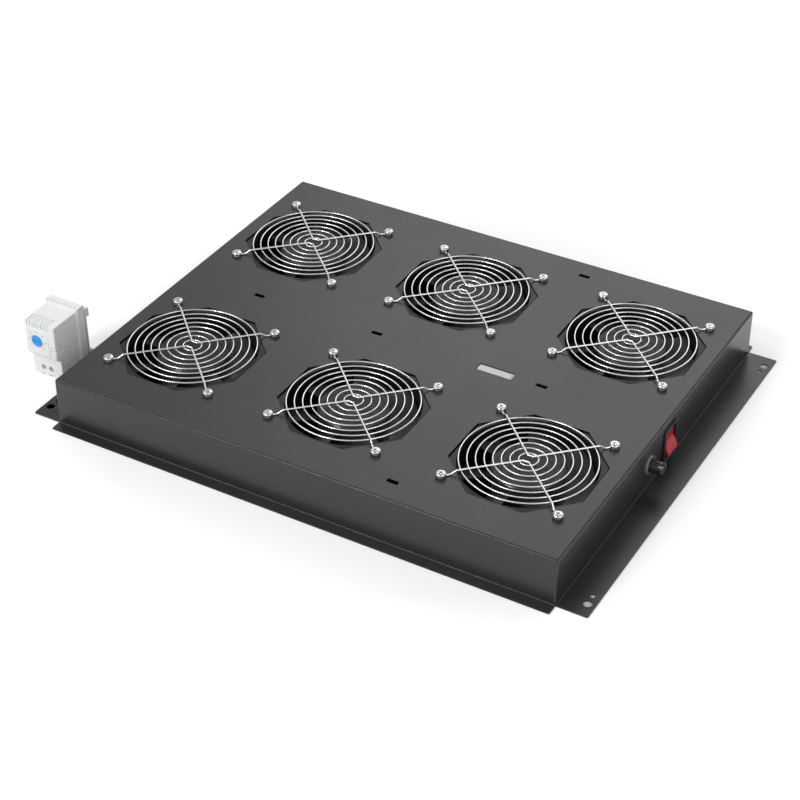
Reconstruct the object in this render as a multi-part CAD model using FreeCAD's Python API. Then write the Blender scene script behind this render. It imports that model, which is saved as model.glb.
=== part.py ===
import FreeCAD, Part
import math
import os
from FreeCAD import Vector

# Rack fan tray: a folded steel tray that carries six mains fans under round wire guards, with a
# rocker switch and a fuse holder in one end wall and a separate thermostat beside it.
# Millimetres. +Z is up and z = 0 is the underside of the foot flanges. The origin is the centre
# of the four large flange holes, +X points to the switch end and +Y to the back row of fans.

# ---- tray -----------------------------------------------------------------------------------
TRAY_LENGTH = 482.6        # X, over the end walls
TRAY_DEPTH = 400.0         # Y, over the long walls
TRAY_HEIGHT = 46.0         # floor to the top face
SHEET = 1.2
BEND_INNER = 0.8           # inside radius of every fold
END_FLANGE = 27.6          # foot flange beyond each end wall
SIDE_FLANGE = 10.6         # foot flange beyond each long wall
FLANGE_TIP_RADIUS = 2.0
CORNER_RELIEF = 0.3        # how far a foot flange stops short of the corner of the tray
FIXING_OUT = 20.7          # large flange holes: outside the end walls
FIXING_IN = 14.5           # and inside the long walls
FIXING_HOLE = 7.5
PILOT_OUT = 20.4           # small flange holes
PILOT_IN = 24.7
PILOT_HOLE = 4.5

# ---- fans -----------------------------------------------------------------------------------
FAN_COLUMNS = 3
FAN_ROWS = 2
FAN_END_MARGIN = 75.6      # from an end wall to the nearest fan axis
FAN_SIDE_MARGIN = 99.6     # from a long wall to the nearest fan axis
FAN_SQUARE = 119.5
FAN_DEPTH = 38.0
FAN_CORNER = 6.0
FAN_FLANGE = 5.0           # thickness of the corner lugs
FAN_SCREW_PITCH = 104.8
FAN_SCREW_HOLE = 4.5
FAN_BORE = 115.0
FAN_WALL = 1.5
FAN_MOUTH = 1.4            # how far the inlet flares out
FAN_MOUTH_DEPTH = 4.0
CUTOUT_FLATS = 122.0       # octagonal opening over each fan
MOTOR_BASE_RADIUS = 31.0
MOTOR_BASE = 3.0
STRUT_WIDTH = 6.0
STRUT_HEIGHT = 4.0
STRUT_OFFSET = 7.0         # struts pass beside the axis, not through it
STRUTS = 3
BEARING_TUBE_RADIUS = 5.8
BEARING_TUBE_TOP = 13.0    # below the fan's top face
BUSH_RADIUS = 4.4
SHAFT_RADIUS = 2.5
SHAFT_FIT = 0.04
SHAFT_END_GAP = 1.0
STATOR_RADIUS = 26.0
STATOR_STACK = 12.0
COIL_RADIUS = 21.0
COIL_HEIGHT = 17.0
HUB_RADIUS = 31.5
HUB_RECESS = 2.2           # hub top below the fan's top face
HUB_WALL = 2.4
HUB_TOP = 3.0
HUB_EDGE = 1.5
HUB_BOSS_RADIUS = 5.0
ROTOR_END_GAP = 0.5        # between hub boss and bearing tube
ROTOR_SKIRT_GAP = 1.5      # between hub skirt and motor base
BLADES = 7
BLADE_TIP_RADIUS = 56.2
BLADE_THICKNESS = 1.6
BLADE_MIDDLE = 18.0        # below the fan's top face
BLADE_ROOT_REACH = 12.0    # half the width and half the rise of a blade at its root
BLADE_ROOT_RISE = 10.5
BLADE_TIP_REACH = 22.5
BLADE_TIP_RISE = 8.0
BLADE_CAMBER = 2.5
ROTOR_REST_ANGLES = (6.0, 46.7, 42.6, 49.0, 41.0, 33.9)

# ---- finger guards, screws and nuts ----------------------------------------------------------
GUARD_RINGS = 8
GUARD_FIRST_RING = 8.2
GUARD_RING_STEP = 7.0
RING_WIRE = 1.3
SPOKE_WIRE = 1.6
RING_LIFT = 2.5            # ring wire centre above the tray
SPOKE_FLAT = 5.2           # straight piece between the two bends of a spoke wire
SPOKE_OFFSETS = (3.4, 5.1) # of that piece from the fan's centre, back and front wire
JOG_OUTER = 66.0           # distance of the jog from the fan's centre
JOG_INNER = 61.0
EYE_CLEARANCE = 0.2
SCREW_RADIUS = 2.0
SCREW_HEAD_RADIUS = 4.5
SCREW_HEAD = 3.0
SCREW_HEAD_EDGE = 1.0
SCREW_TAIL = 1.6           # thread past the nut
NUT_FLATS = 7.0
NUT_HEIGHT = 3.2
THREAD_CLEARANCE = 0.05

# ---- slots and window in the tray -------------------------------------------------------------
TIE_SLOT_LENGTH = 10.5
TIE_SLOT_WIDTH = 4.5
TIE_SLOT_LEFT = 80.3       # from the left end wall
TIE_SLOT_MIDDLE = -36.4    # from the middle of the tray
TIE_SLOT_RIGHT = 114.0     # from the switch wall
EDGE_SLOT = 22.5           # from a long wall
WINDOW_LENGTH = 34.5
WINDOW_WIDTH = 9.6

# ---- terminal block ---------------------------------------------------------------------------
TERMINAL_LENGTH = 44.0
TERMINAL_WIDTH = 17.0
TERMINAL_HEIGHT = 13.0
TERMINAL_PAD_GAP = 0.8
TERMINAL_PAD_RECESS = 0.6  # pad below the tray's top face
TERMINAL_NOTCH = 5.0
TERMINAL_NOTCH_DEPTH = 1.5
TERMINAL_WAYS = 6
TERMINAL_PITCH = 6.8
TERMINAL_PORT_RADIUS = 1.9
TERMINAL_PORT_DEPTH = 6.0
TERMINAL_PORT_DROP = 6.5   # port centre below the tray sheet
TERMINAL_SCREW_RADIUS = 1.6
TERMINAL_SCREW_LENGTH = 3.0
TERMINAL_SCREW_SINK = 0.6

# ---- rocker switch ----------------------------------------------------------------------------
PANEL_Z = 22.5             # height of the switch and fuse axes
SWITCH_Y = 14.0
SWITCH_BEZEL_WIDTH = 25.5
SWITCH_BEZEL_HEIGHT = 31.0
SWITCH_BEZEL = 2.0
SWITCH_BEZEL_CORNER = 2.0
SWITCH_BODY_WIDTH = 21.6
SWITCH_BODY_HEIGHT = 28.0
SWITCH_BODY_DEPTH = 17.0
SWITCH_PANEL_GAP = 0.2
ROCKER_WIDTH = 18.6
ROCKER_SIDE_GAP = 0.3
ROCKER_END_GAP = 0.4
ROCKER_PIVOT_DEPTH = 4.5   # pivot behind the wall's outer face
ROCKER_FACE = 4.5          # crease of the face, in front of the pivot
ROCKER_HORN = 7.0          # raised ends of the face, in front of the pivot
ROCKER_HALF = 11.4
ROCKER_BACK_HALF = 11.9
ROCKER_TAIL = 3.0
ROCKER_TAIL_HALF = 7.5
ROCKER_TILT = 12.0         # at rest the upper end is pressed in
PIVOT_RADIUS = 1.4
PIVOT_FIT = 0.05
PIVOT_LENGTH = 1.1
BLADE_TERMINAL = (8.0, 0.8, 6.3)
BLADE_TERMINAL_Y = 5.0
BLADE_TERMINAL_Z = 7.5

# ---- fuse holder --------------------------------------------------------------------------------
FUSE_Y = -26.2
FUSE_FLANGE_RADIUS = 8.35
FUSE_FLANGE = 1.8
FUSE_BARREL_RADIUS = 6.1
FUSE_BARREL_LENGTH = 33.0
FUSE_HOLE_GAP = 0.1
FUSE_END_WALL = 2.0
FUSE_NUT_FLATS = 16.0
FUSE_NUT_HEIGHT = 3.5
CARRIER_RADIUS = 4.5
CARRIER_FIT = 0.08
CARRIER_LENGTH = 28.0
CARRIER_STUB_RADIUS = 3.0
CARRIER_STUB = 8.0
CAP_FIT = 0.05
CAP_RADIUS = 5.9
CAP_GAP = 0.3              # between the flange and the cap
CAP_LENGTH = 11.0
CAP_GRIPS = 12
CAP_GRIP_WIDTH = 1.3
CAP_GRIP_DEPTH = 0.9
CAP_SLOT = (1.5, 1.2)      # depth and width of the screwdriver slot
FUSE_RADIUS = 2.6
FUSE_LENGTH = 20.0
FUSE_BACK_GAP = 1.0
FUSE_TAB = (7.0, 0.6, 4.0)

# ---- cable grommet ------------------------------------------------------------------------------
GROMMET_IN = 36.3          # from the switch wall
GROMMET_HOLE_RADIUS = 6.0
GROMMET_RADIUS = 8.0
GROMMET_LIP = 1.6
GROMMET_BORE_RADIUS = 3.5

# ---- thermostat -----------------------------------------------------------------------------------
THERMOSTAT_OUT = 67.9      # left front bottom corner: outside the left end wall
THERMOSTAT_IN = 45.6       # and inside the front wall
THERMO_WIDTH = 33.0
THERMO_HEIGHT = 60.3
THERMO_DEPTH = 41.0        # housing, without the base
THERMO_TOTAL = 47.3
THERMO_COLLAR_Y = 31.3     # where the wider back of the housing begins
THERMO_COLLAR_SIDE = 2.0   # how much wider it is on each side
THERMO_COLLAR_TOP = 2.8    # and how much taller
THERMO_EDGE = 1.2
THERMO_STEP = 5.3          # how far the lower front stands back
THERMO_STEP_TOP = 28.0
THERMO_STEP_BOTTOM = 20.0
THERMO_FOOT = 3.0
THERMO_GROOVE = 1.2        # dark line between housing and base
THERMO_GROOVE_DEPTH = 1.2
THERMO_RIBS = 9            # short grooves across the front edge of the collar's top
THERMO_RIB = (1.1, 4.2, 1.2)
THERMO_BASE_DROP = 2.6     # base below the top of the housing
THERMO_BASE_EDGE = 1.0
RAIL_SLOT_BOTTOM = 13.0
RAIL_HEIGHT = 35.3
RAIL_SLOT_DEPTH = 3.6
RAIL_HOOK = 1.4
RAIL_HOOK_THICK = 1.6
VENTS = 8
VENT_FIRST = 3.0
VENT_PITCH = 3.23
VENT_WIDTH = 1.2
VENT_DEPTH = 1.4
VENT_TOP_RUN = 12.0
VENT_FRONT_RUN = 5.0
SIDE_VENTS = 4
SIDE_VENT_TOP = 38.6
SIDE_VENT_PITCH = 3.25
SIDE_VENT_FRONT_RUN = 6.5
SIDE_VENT_RUN = 13.5
LEFT_VENT_RUN = 3.0
LABEL_RIGHT = 25.4         # right edge of the raised dial panel
LABEL_TOP = 52.4
LABEL_CORNER = 6.0
LABEL_RISE = 0.4
DIAL_X = 13.1
DIAL_Z = 41.6
DIAL_RADIUS = 5.8
DIAL_GAP = 0.3
DIAL_PROUD = 0.9
DIAL_SUNK = 2.4
DIAL_FLOOR_GAP = 0.3
DIAL_RIM = 0.8
DIAL_RIM_RISE = 0.5
DIAL_STEM_RADIUS = 2.5
DIAL_STEM_FIT = 0.05
DIAL_STEM = 6.0
DIAL_SLOT = (7.5, 1.2, 0.8)
WIRE_SCREWS_X = (12.1, 20.2)
WIRE_SCREW_Z = 9.5
WIRE_SCREW_HOLE = 2.6
WIRE_SCREW_RADIUS = 2.0
WIRE_SCREW_SINK = 1.2
WIRE_SCREW_DEPTH = 5.0
WIRE_ENTRY = (4.4, 4.0, 3.0)
WIRE_ENTRY_Y = 7.0
SLOPE_SLOTS = 5
SLOPE_SLOT = (0.9, 2.8, 4.0)
SLOPE_SLOT_Z = 25.0
SLOPE_SLOT_FIRST = 10.0
SLOPE_SLOT_PITCH = 3.1
SLOPE_SLOT_SLANT = 20.0
SLOPE_SLOT_BACK = 0.2      # share of the slope's depth

# ---- derived heights and faces -----------------------------------------------------------------
BEND_OUTER = BEND_INNER + SHEET
SEAT_Z = TRAY_HEIGHT - SHEET            # underside of the tray's top
END_WALL_X = TRAY_LENGTH / 2            # outer face of the switch wall
BACK_WALL_Y = TRAY_DEPTH / 2
FIXING_PITCHES = (TRAY_LENGTH + 2 * FIXING_OUT, TRAY_DEPTH - 2 * FIXING_IN)
PILOT_PITCHES = (TRAY_LENGTH + 2 * PILOT_OUT, TRAY_DEPTH - 2 * PILOT_IN)
FAN_PITCH_X = (TRAY_LENGTH - 2 * FAN_END_MARGIN) / (FAN_COLUMNS - 1)
FAN_PITCH_Y = (TRAY_DEPTH - 2 * FAN_SIDE_MARGIN) / (FAN_ROWS - 1)
TERMINAL_X = FAN_PITCH_X / 2
GROMMET_X = END_WALL_X - GROMMET_IN
SPOKE_LIFT = RING_LIFT + (RING_WIRE + SPOKE_WIRE) / 2
EYE_RADIUS = SCREW_RADIUS + SPOKE_WIRE / 2 + EYE_CLEARANCE
OVERCUT = 1.0                           # how far a cutting tool runs past a face


def turned(outline):
    """Solid of revolution about Z from an outline of (radius, z) points."""
    points = [Vector(radius, 0, z) for radius, z in outline]
    face = Part.Face(Part.makePolygon(points + points[:1]))
    return face.revolve(Vector(), Vector(0, 0, 1), 360)


def along_x(shape, x, y, z):
    """Turn a shape built up the Z axis so that it points along +X, and put it at a point."""
    turned_over = shape.copy()
    turned_over.rotate(Vector(), Vector(0, 1, 0), 90)
    turned_over.translate(Vector(x, y, z))
    return turned_over


def along_y(shape, x, y, z):
    """Turn a shape built up the Z axis so that it points along +Y, and put it at a point."""
    turned_over = shape.copy()
    turned_over.rotate(Vector(), Vector(1, 0, 0), -90)
    turned_over.translate(Vector(x, y, z))
    return turned_over


def moved(shape, offset):
    copy = shape.copy()
    copy.translate(offset)
    return copy


def centred_box(size_x, size_y, size_z, x, y, z):
    """Box centred on x and y that stands on z."""
    return Part.makeBox(size_x, size_y, size_z, Vector(x - size_x / 2, y - size_y / 2, z))


def edges_along(shape, axis):
    """The straight edges of a shape that run along an axis."""
    found = []
    for edge in shape.Edges:
        start, end = edge.Vertexes[0].Point, edge.Vertexes[-1].Point
        run = end - start
        if run.Length > 0 and abs(run.dot(axis)) > 0.999 * run.Length:
            found.append(edge)
    return found


def rounded_box(size_x, size_y, size_z, radius, base):
    """Box centred on `base` in x and y, standing on it, with its upright edges rounded."""
    box = centred_box(size_x, size_y, size_z, base.x, base.y, base.z)
    return box.makeFillet(radius, edges_along(box, Vector(0, 0, 1)))


def hexagon(flats, height):
    """Hexagonal prism on z = 0."""
    radius = flats / 2 / math.cos(math.pi / 6)
    corners = [
        Vector(radius * math.cos(math.radians(60 * i)), radius * math.sin(math.radians(60 * i)), 0)
        for i in range(6)
    ]
    return Part.Face(Part.makePolygon(corners + corners[:1])).extrude(Vector(0, 0, height))


def swept(path, wire_diameter):
    """Round wire along a path, with mitred corners."""
    first = path.OrderedEdges[0]
    start = path.OrderedVertexes[0].Point
    at_start = (first.valueAt(first.FirstParameter) - start).Length < 1e-6
    parameter = first.FirstParameter if at_start else first.LastParameter
    section = Part.Wire(Part.makeCircle(wire_diameter / 2, start, first.tangentAt(parameter)))
    sweep = Part.BRepOffsetAPI.MakePipeShell(path)
    sweep.setTransitionMode(1)
    sweep.add(section)
    sweep.build()
    sweep.makeSolid()
    return sweep.shape()


def fan_centres():
    """Axes of the fans at z = 0, front row first."""
    centres = []
    for row in range(FAN_ROWS):
        for column in range(FAN_COLUMNS):
            x = (column - (FAN_COLUMNS - 1) / 2) * FAN_PITCH_X
            y = (row - (FAN_ROWS - 1) / 2) * FAN_PITCH_Y
            centres.append(Vector(x, y, 0))
    return centres


def corner_points(pitch_x, pitch_y, centre, z):
    """Four points on a rectangle about a centre."""
    return [
        Vector(centre.x + sx * pitch_x / 2, centre.y + sy * pitch_y / 2, z)
        for sx in (-1, 1)
        for sy in (-1, 1)
    ]


def screw_points(z):
    points = []
    for centre in fan_centres():
        points += corner_points(FAN_SCREW_PITCH, FAN_SCREW_PITCH, centre, z)
    return points


# ---- tray -----------------------------------------------------------------------------------
def tray_pan():
    """Top and four walls, folded with rounded edges and open underneath."""
    depth = TRAY_HEIGHT - BEND_OUTER
    outer = centred_box(TRAY_LENGTH, TRAY_DEPTH, depth, 0, 0, BEND_OUTER)
    outer = outer.makeFillet(BEND_OUTER, top_and_uprights(outer, TRAY_HEIGHT))
    inner = centred_box(
        TRAY_LENGTH - 2 * SHEET, TRAY_DEPTH - 2 * SHEET, depth, 0, 0, BEND_OUTER - SHEET
    )
    inner = inner.makeFillet(BEND_INNER, top_and_uprights(inner, SEAT_Z))
    return outer.cut(inner)


def top_and_uprights(box, top):
    """Edges round the top of a box and up its corners."""
    uprights = edges_along(box, Vector(0, 0, 1))
    level = [e for e in box.Edges if abs(e.BoundBox.ZMin - top) < 1e-6]
    return uprights + level


def foot_flange(wall_face, reach, length):
    """Fold at the foot of a wall and the flange beyond it, along Y, for a wall that faces +X."""
    bend = Vector(wall_face + BEND_INNER, 0, BEND_OUTER)
    slant = Vector(-math.sqrt(0.5), 0, -math.sqrt(0.5))
    wall_out = Vector(wall_face, 0, BEND_OUTER)
    wall_in = Vector(wall_face - SHEET, 0, BEND_OUTER)
    top_start = Vector(bend.x, 0, SHEET)
    top_end = Vector(wall_face + reach, 0, SHEET)
    low_end = Vector(wall_face + reach, 0, 0)
    low_start = Vector(bend.x, 0, 0)
    outline = Part.Wire([
        Part.makeLine(wall_in, wall_out),
        Part.Arc(wall_out, bend + slant * BEND_INNER, top_start).toShape(),
        Part.makeLine(top_start, top_end),
        Part.makeLine(top_end, low_end),
        Part.makeLine(low_end, low_start),
        Part.Arc(low_start, bend + slant * BEND_OUTER, wall_in).toShape(),
    ])
    flange = Part.Face(outline).extrude(Vector(0, length, 0))
    flange.translate(Vector(0, -length / 2, 0))
    tips = [
        e for e in edges_along(flange, Vector(0, 0, 1))
        if abs(e.BoundBox.XMax - top_end.x) < 1e-6
    ]
    return flange.makeFillet(FLANGE_TIP_RADIUS, tips)


def foot_flanges():
    end = foot_flange(END_WALL_X, END_FLANGE, TRAY_DEPTH - 2 * CORNER_RELIEF)
    side = foot_flange(BACK_WALL_Y, SIDE_FLANGE, TRAY_LENGTH - 2 * CORNER_RELIEF)
    flanges = []
    for flange, first_turn in ((end, 0), (side, 90)):
        for turn in (0, 180):
            copy = flange.copy()
            copy.rotate(Vector(), Vector(0, 0, 1), first_turn + turn)
            flanges.append(copy)
    return flanges


def octagon_cutter(centre):
    """Octagonal prism through the top, with flats across X and Y."""
    radius = CUTOUT_FLATS / 2 / math.cos(math.pi / 8)
    corners = []
    for i in range(8):
        angle = math.radians(22.5 + 45 * i)
        corners.append(centre + Vector(radius * math.cos(angle), radius * math.sin(angle), 0))
    prism = Part.Face(Part.makePolygon(corners + corners[:1]))
    prism = prism.extrude(Vector(0, 0, SHEET + 2 * OVERCUT))
    return moved(prism, Vector(0, 0, SEAT_Z - OVERCUT))


def slot_cutters():
    """Cable tie slots and the window over the terminal block."""
    depth = SHEET + 2 * OVERCUT
    base = SEAT_Z - OVERCUT
    slots_x = (TIE_SLOT_LEFT - END_WALL_X, TIE_SLOT_MIDDLE, END_WALL_X - TIE_SLOT_RIGHT)
    edge_y = BACK_WALL_Y - EDGE_SLOT
    places = [(x, 0) for x in slots_x]
    places += [(TERMINAL_X, -edge_y), (TERMINAL_X, edge_y)]
    cutters = [centred_box(TIE_SLOT_LENGTH, TIE_SLOT_WIDTH, depth, x, y, base) for x, y in places]
    cutters.append(centred_box(WINDOW_LENGTH, WINDOW_WIDTH, depth, TERMINAL_X, 0, base))
    return cutters


def flange_hole_cutters():
    cutters = []
    for pitches, hole in ((FIXING_PITCHES, FIXING_HOLE), (PILOT_PITCHES, PILOT_HOLE)):
        for point in corner_points(*pitches, Vector(), -OVERCUT):
            cutters.append(Part.makeCylinder(hole / 2, SHEET + 2 * OVERCUT, point))
    return cutters


def wall_cutters():
    """Openings in the walls for the switch, the fuse holder and the grommet."""
    reach = SHEET + 2 * OVERCUT
    switch = Part.makeBox(
        reach,
        SWITCH_BODY_WIDTH + 2 * SWITCH_PANEL_GAP,
        SWITCH_BODY_HEIGHT + 2 * SWITCH_PANEL_GAP,
        Vector(
            END_WALL_X - SHEET - OVERCUT,
            SWITCH_Y - SWITCH_BODY_WIDTH / 2 - SWITCH_PANEL_GAP,
            PANEL_Z - SWITCH_BODY_HEIGHT / 2 - SWITCH_PANEL_GAP,
        ),
    )
    fuse = Part.makeCylinder(FUSE_BARREL_RADIUS + FUSE_HOLE_GAP, reach)
    fuse = along_x(fuse, END_WALL_X - SHEET - OVERCUT, FUSE_Y, PANEL_Z)
    grommet = Part.makeCylinder(GROMMET_HOLE_RADIUS, reach)
    grommet = along_y(grommet, GROMMET_X, BACK_WALL_Y - SHEET - OVERCUT, PANEL_Z)
    return [switch, fuse, grommet]


def tray_shell():
    shell = tray_pan().fuse(foot_flanges())
    cutters = [octagon_cutter(centre) for centre in fan_centres()]
    for point in screw_points(SEAT_Z - OVERCUT):
        cutters.append(Part.makeCylinder(FAN_SCREW_HOLE / 2, SHEET + 2 * OVERCUT, point))
    cutters += slot_cutters() + flange_hole_cutters() + wall_cutters()
    return shell.cut(cutters).removeSplitter()


def tray_panels():
    """The folded sheet as its flat top and its four walls, each with its folds and its flange."""
    shell = tray_shell()
    flat_x = TRAY_LENGTH - 2 * BEND_OUTER
    flat_y = TRAY_DEPTH - 2 * BEND_OUTER
    reach = BEND_OUTER + SIDE_FLANGE + OVERCUT
    top = centred_box(flat_x, flat_y, TRAY_HEIGHT, 0, 0, BEND_OUTER)
    sides = [
        centred_box(TRAY_LENGTH, reach, TRAY_HEIGHT, 0, way * (flat_y + reach) / 2, 0)
        for way in (-1, 1)
    ]
    ends = sorted(shell.cut([top] + sides).Solids, key=lambda end: end.CenterOfMass.x)
    return {
        "tray_top": shell.common(top),
        "tray_front_wall": shell.common(sides[0]),
        "tray_back_wall": shell.common(sides[1]),
        "tray_left_end": ends[0],
        "tray_switch_end": ends[-1],
    }


# ---- fans: built with the top face of the frame at z = 0 and the axis on Z --------------------
def fan_frame():
    """Cast frame: two square flanges and the duct between them."""
    bore = FAN_BORE / 2
    mouth = bore + FAN_MOUTH
    top = rounded_box(FAN_SQUARE, FAN_SQUARE, FAN_FLANGE, FAN_CORNER, Vector(0, 0, -FAN_FLANGE))
    bottom = moved(top, Vector(0, 0, FAN_FLANGE - FAN_DEPTH))
    barrel = Part.makeCylinder(bore + FAN_WALL, FAN_DEPTH, Vector(0, 0, -FAN_DEPTH))
    duct = turned([
        (0, OVERCUT), (mouth, OVERCUT), (mouth, 0), (bore, -FAN_MOUTH_DEPTH),
        (bore, -FAN_DEPTH - OVERCUT), (0, -FAN_DEPTH - OVERCUT),
    ])
    frame = top.fuse([bottom, barrel]).cut(duct)
    holes = [
        Part.makeCylinder(FAN_SCREW_HOLE / 2, FAN_DEPTH + 2 * OVERCUT, point)
        for point in corner_points(
            FAN_SCREW_PITCH, FAN_SCREW_PITCH, Vector(), -FAN_DEPTH - OVERCUT
        )
    ]
    return frame.cut(holes).removeSplitter()


def motor_mount():
    """Motor base on three struts that reach the wall of the duct."""
    duct = Part.makeCylinder(FAN_BORE / 2, FAN_DEPTH, Vector(0, 0, -FAN_DEPTH))
    return motor_base().fuse(fan_struts()).common(duct).removeSplitter()


def motor_base():
    """Disc under the motor with the tube that holds the bearing."""
    floor = -FAN_DEPTH
    return turned([
        (0, floor), (MOTOR_BASE_RADIUS, floor), (MOTOR_BASE_RADIUS, floor + MOTOR_BASE),
        (BEARING_TUBE_RADIUS, floor + MOTOR_BASE), (BEARING_TUBE_RADIUS, -BEARING_TUBE_TOP),
        (BUSH_RADIUS, -BEARING_TUBE_TOP), (BUSH_RADIUS, floor + MOTOR_BASE / 2),
        (0, floor + MOTOR_BASE / 2),
    ])


def fan_struts():
    """Struts set off from the axis, so that no blade passes one all at once."""
    inner = MOTOR_BASE_RADIUS - STRUT_WIDTH
    length = FAN_BORE / 2 - inner
    strut = Part.makeBox(
        length, STRUT_WIDTH, STRUT_HEIGHT,
        Vector(inner, STRUT_OFFSET - STRUT_WIDTH / 2, -FAN_DEPTH),
    )
    struts = []
    for i in range(STRUTS):
        copy = strut.copy()
        copy.rotate(Vector(), Vector(0, 0, 1), 90 + 360 / STRUTS * i)
        struts.append(copy)
    return struts


def fan_bush():
    """Sleeve bearing pressed into the tube."""
    low = -FAN_DEPTH + MOTOR_BASE
    inner = SHAFT_RADIUS + SHAFT_FIT
    return turned([
        (inner, low), (BUSH_RADIUS, low), (BUSH_RADIUS, -BEARING_TUBE_TOP),
        (inner, -BEARING_TUBE_TOP),
    ])


def fan_stator():
    """Laminated stack with its coils, pressed on the bearing tube."""
    low = -FAN_DEPTH + MOTOR_BASE
    stack_low = low + (COIL_HEIGHT - STATOR_STACK) / 2
    return turned([
        (BEARING_TUBE_RADIUS, low), (COIL_RADIUS, low), (COIL_RADIUS, stack_low),
        (STATOR_RADIUS, stack_low), (STATOR_RADIUS, stack_low + STATOR_STACK),
        (COIL_RADIUS, stack_low + STATOR_STACK), (COIL_RADIUS, low + COIL_HEIGHT),
        (BEARING_TUBE_RADIUS, low + COIL_HEIGHT),
    ])


def hub():
    """Cup over the motor, with the shaft in its middle."""
    top = -HUB_RECESS
    skirt = -FAN_DEPTH + MOTOR_BASE + ROTOR_SKIRT_GAP
    inner = HUB_RADIUS - HUB_WALL
    boss = -BEARING_TUBE_TOP + ROTOR_END_GAP
    shaft_end = -FAN_DEPTH + MOTOR_BASE / 2 + SHAFT_END_GAP
    return turned([
        (0, top), (HUB_RADIUS - HUB_EDGE, top), (HUB_RADIUS, top - HUB_EDGE),
        (HUB_RADIUS, skirt), (inner, skirt), (inner, top - HUB_TOP),
        (HUB_BOSS_RADIUS, top - HUB_TOP), (HUB_BOSS_RADIUS, boss), (SHAFT_RADIUS, boss),
        (SHAFT_RADIUS, shaft_end), (0, shaft_end),
    ])


def blade_section(x, reach, rise):
    """Section of a blade across the radius: high on its anticlockwise side."""
    down = Vector(0, 0, -BLADE_THICKNESS)
    high = Vector(x, reach, rise - BLADE_MIDDLE)
    crown = Vector(x, 0, BLADE_CAMBER - BLADE_MIDDLE)
    low = Vector(x, -reach, -rise - BLADE_MIDDLE)
    return Part.Wire([
        Part.Arc(high, crown, low).toShape(),
        Part.makeLine(low, low + down),
        Part.Arc(low + down, crown + down, high + down).toShape(),
        Part.makeLine(high + down, high),
    ])


def blade():
    """One twisted blade between the hub and the tip circle."""
    root_x = HUB_RADIUS - HUB_WALL - 3 * BLADE_THICKNESS
    tip_x = BLADE_TIP_RADIUS + BLADE_THICKNESS
    root = blade_section(root_x, BLADE_ROOT_REACH, BLADE_ROOT_RISE)
    tip = blade_section(tip_x, BLADE_TIP_REACH, BLADE_TIP_RISE)
    body = Part.makeLoft([root, tip], True, True)
    space = Part.makeCylinder(BLADE_TIP_RADIUS, FAN_DEPTH, Vector(0, 0, -FAN_DEPTH))
    core = Part.makeCylinder(HUB_RADIUS - HUB_WALL / 2, FAN_DEPTH, Vector(0, 0, -FAN_DEPTH))
    return body.common(space.cut(core))


def fan_rotor():
    one = blade()
    blades = []
    for i in range(BLADES):
        copy = one.copy()
        copy.rotate(Vector(), Vector(0, 0, 1), 360 / BLADES * i)
        blades.append(copy)
    return hub().fuse(blades).removeSplitter()


# ---- finger guard: built with the tray's top face at z = 0 -------------------------------------
def spoke_wire(side, offset):
    """One bent wire with an eye at each end; `side` is +1 for the back pair of screws."""
    low = SPOKE_WIRE / 2
    eye = Vector(FAN_SCREW_PITCH / 2, side * FAN_SCREW_PITCH / 2, low)
    bend = Vector(SPOKE_FLAT / 2, side * offset, low)
    inward = (bend - eye).normalize()
    jog_run = FAN_SCREW_PITCH / math.sqrt(2)
    foot = eye + inward * (jog_run - JOG_OUTER)
    head = eye + inward * (jog_run - JOG_INNER)
    right = [eye + inward * EYE_RADIUS, foot, head, bend]
    for point in right[2:]:
        point.z = SPOKE_LIFT
    points = right + [Vector(-p.x, p.y, p.z) for p in reversed(right)]
    eyes = [
        Part.makeTorus(EYE_RADIUS, low, Vector(way * eye.x, eye.y, low)) for way in (-1, 1)
    ]
    return swept(Part.makePolygon(points), SPOKE_WIRE).fuse(eyes)


def finger_guard():
    """Eight rings welded under two bent spoke wires."""
    wires = [spoke_wire(side, offset) for side, offset in zip((1, -1), SPOKE_OFFSETS)]
    for i in range(GUARD_RINGS):
        radius = GUARD_FIRST_RING + GUARD_RING_STEP * i
        wires.append(Part.makeTorus(radius, RING_WIRE / 2, Vector(0, 0, RING_LIFT)))
    return Part.makeCompound(wires)


def guard_screw():
    """Pan head screw with its head on the eye wires and its thread down through the nut."""
    seat = SPOKE_WIRE
    tail = -SHEET - FAN_FLANGE - NUT_HEIGHT - SCREW_TAIL
    return turned([
        (0, seat + SCREW_HEAD), (SCREW_HEAD_RADIUS - SCREW_HEAD_EDGE, seat + SCREW_HEAD),
        (SCREW_HEAD_RADIUS, seat + SCREW_HEAD - SCREW_HEAD_EDGE), (SCREW_HEAD_RADIUS, seat),
        (SCREW_RADIUS, seat), (SCREW_RADIUS, tail), (0, tail),
    ])


def guard_nut():
    nut = hexagon(NUT_FLATS, NUT_HEIGHT)
    bore = Part.makeCylinder(
        SCREW_RADIUS + THREAD_CLEARANCE, NUT_HEIGHT + 2 * OVERCUT, Vector(0, 0, -OVERCUT)
    )
    return moved(nut.cut(bore), Vector(0, 0, -SHEET - FAN_FLANGE - NUT_HEIGHT))


def at_screws(shape):
    return Part.makeCompound([moved(shape, point) for point in screw_points(TRAY_HEIGHT)])


# ---- terminal block ---------------------------------------------------------------------------
def port_places():
    """X of each way of the terminal block."""
    middle = (TERMINAL_WAYS - 1) / 2
    return [TERMINAL_X + (i - middle) * TERMINAL_PITCH for i in range(TERMINAL_WAYS)]


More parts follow.
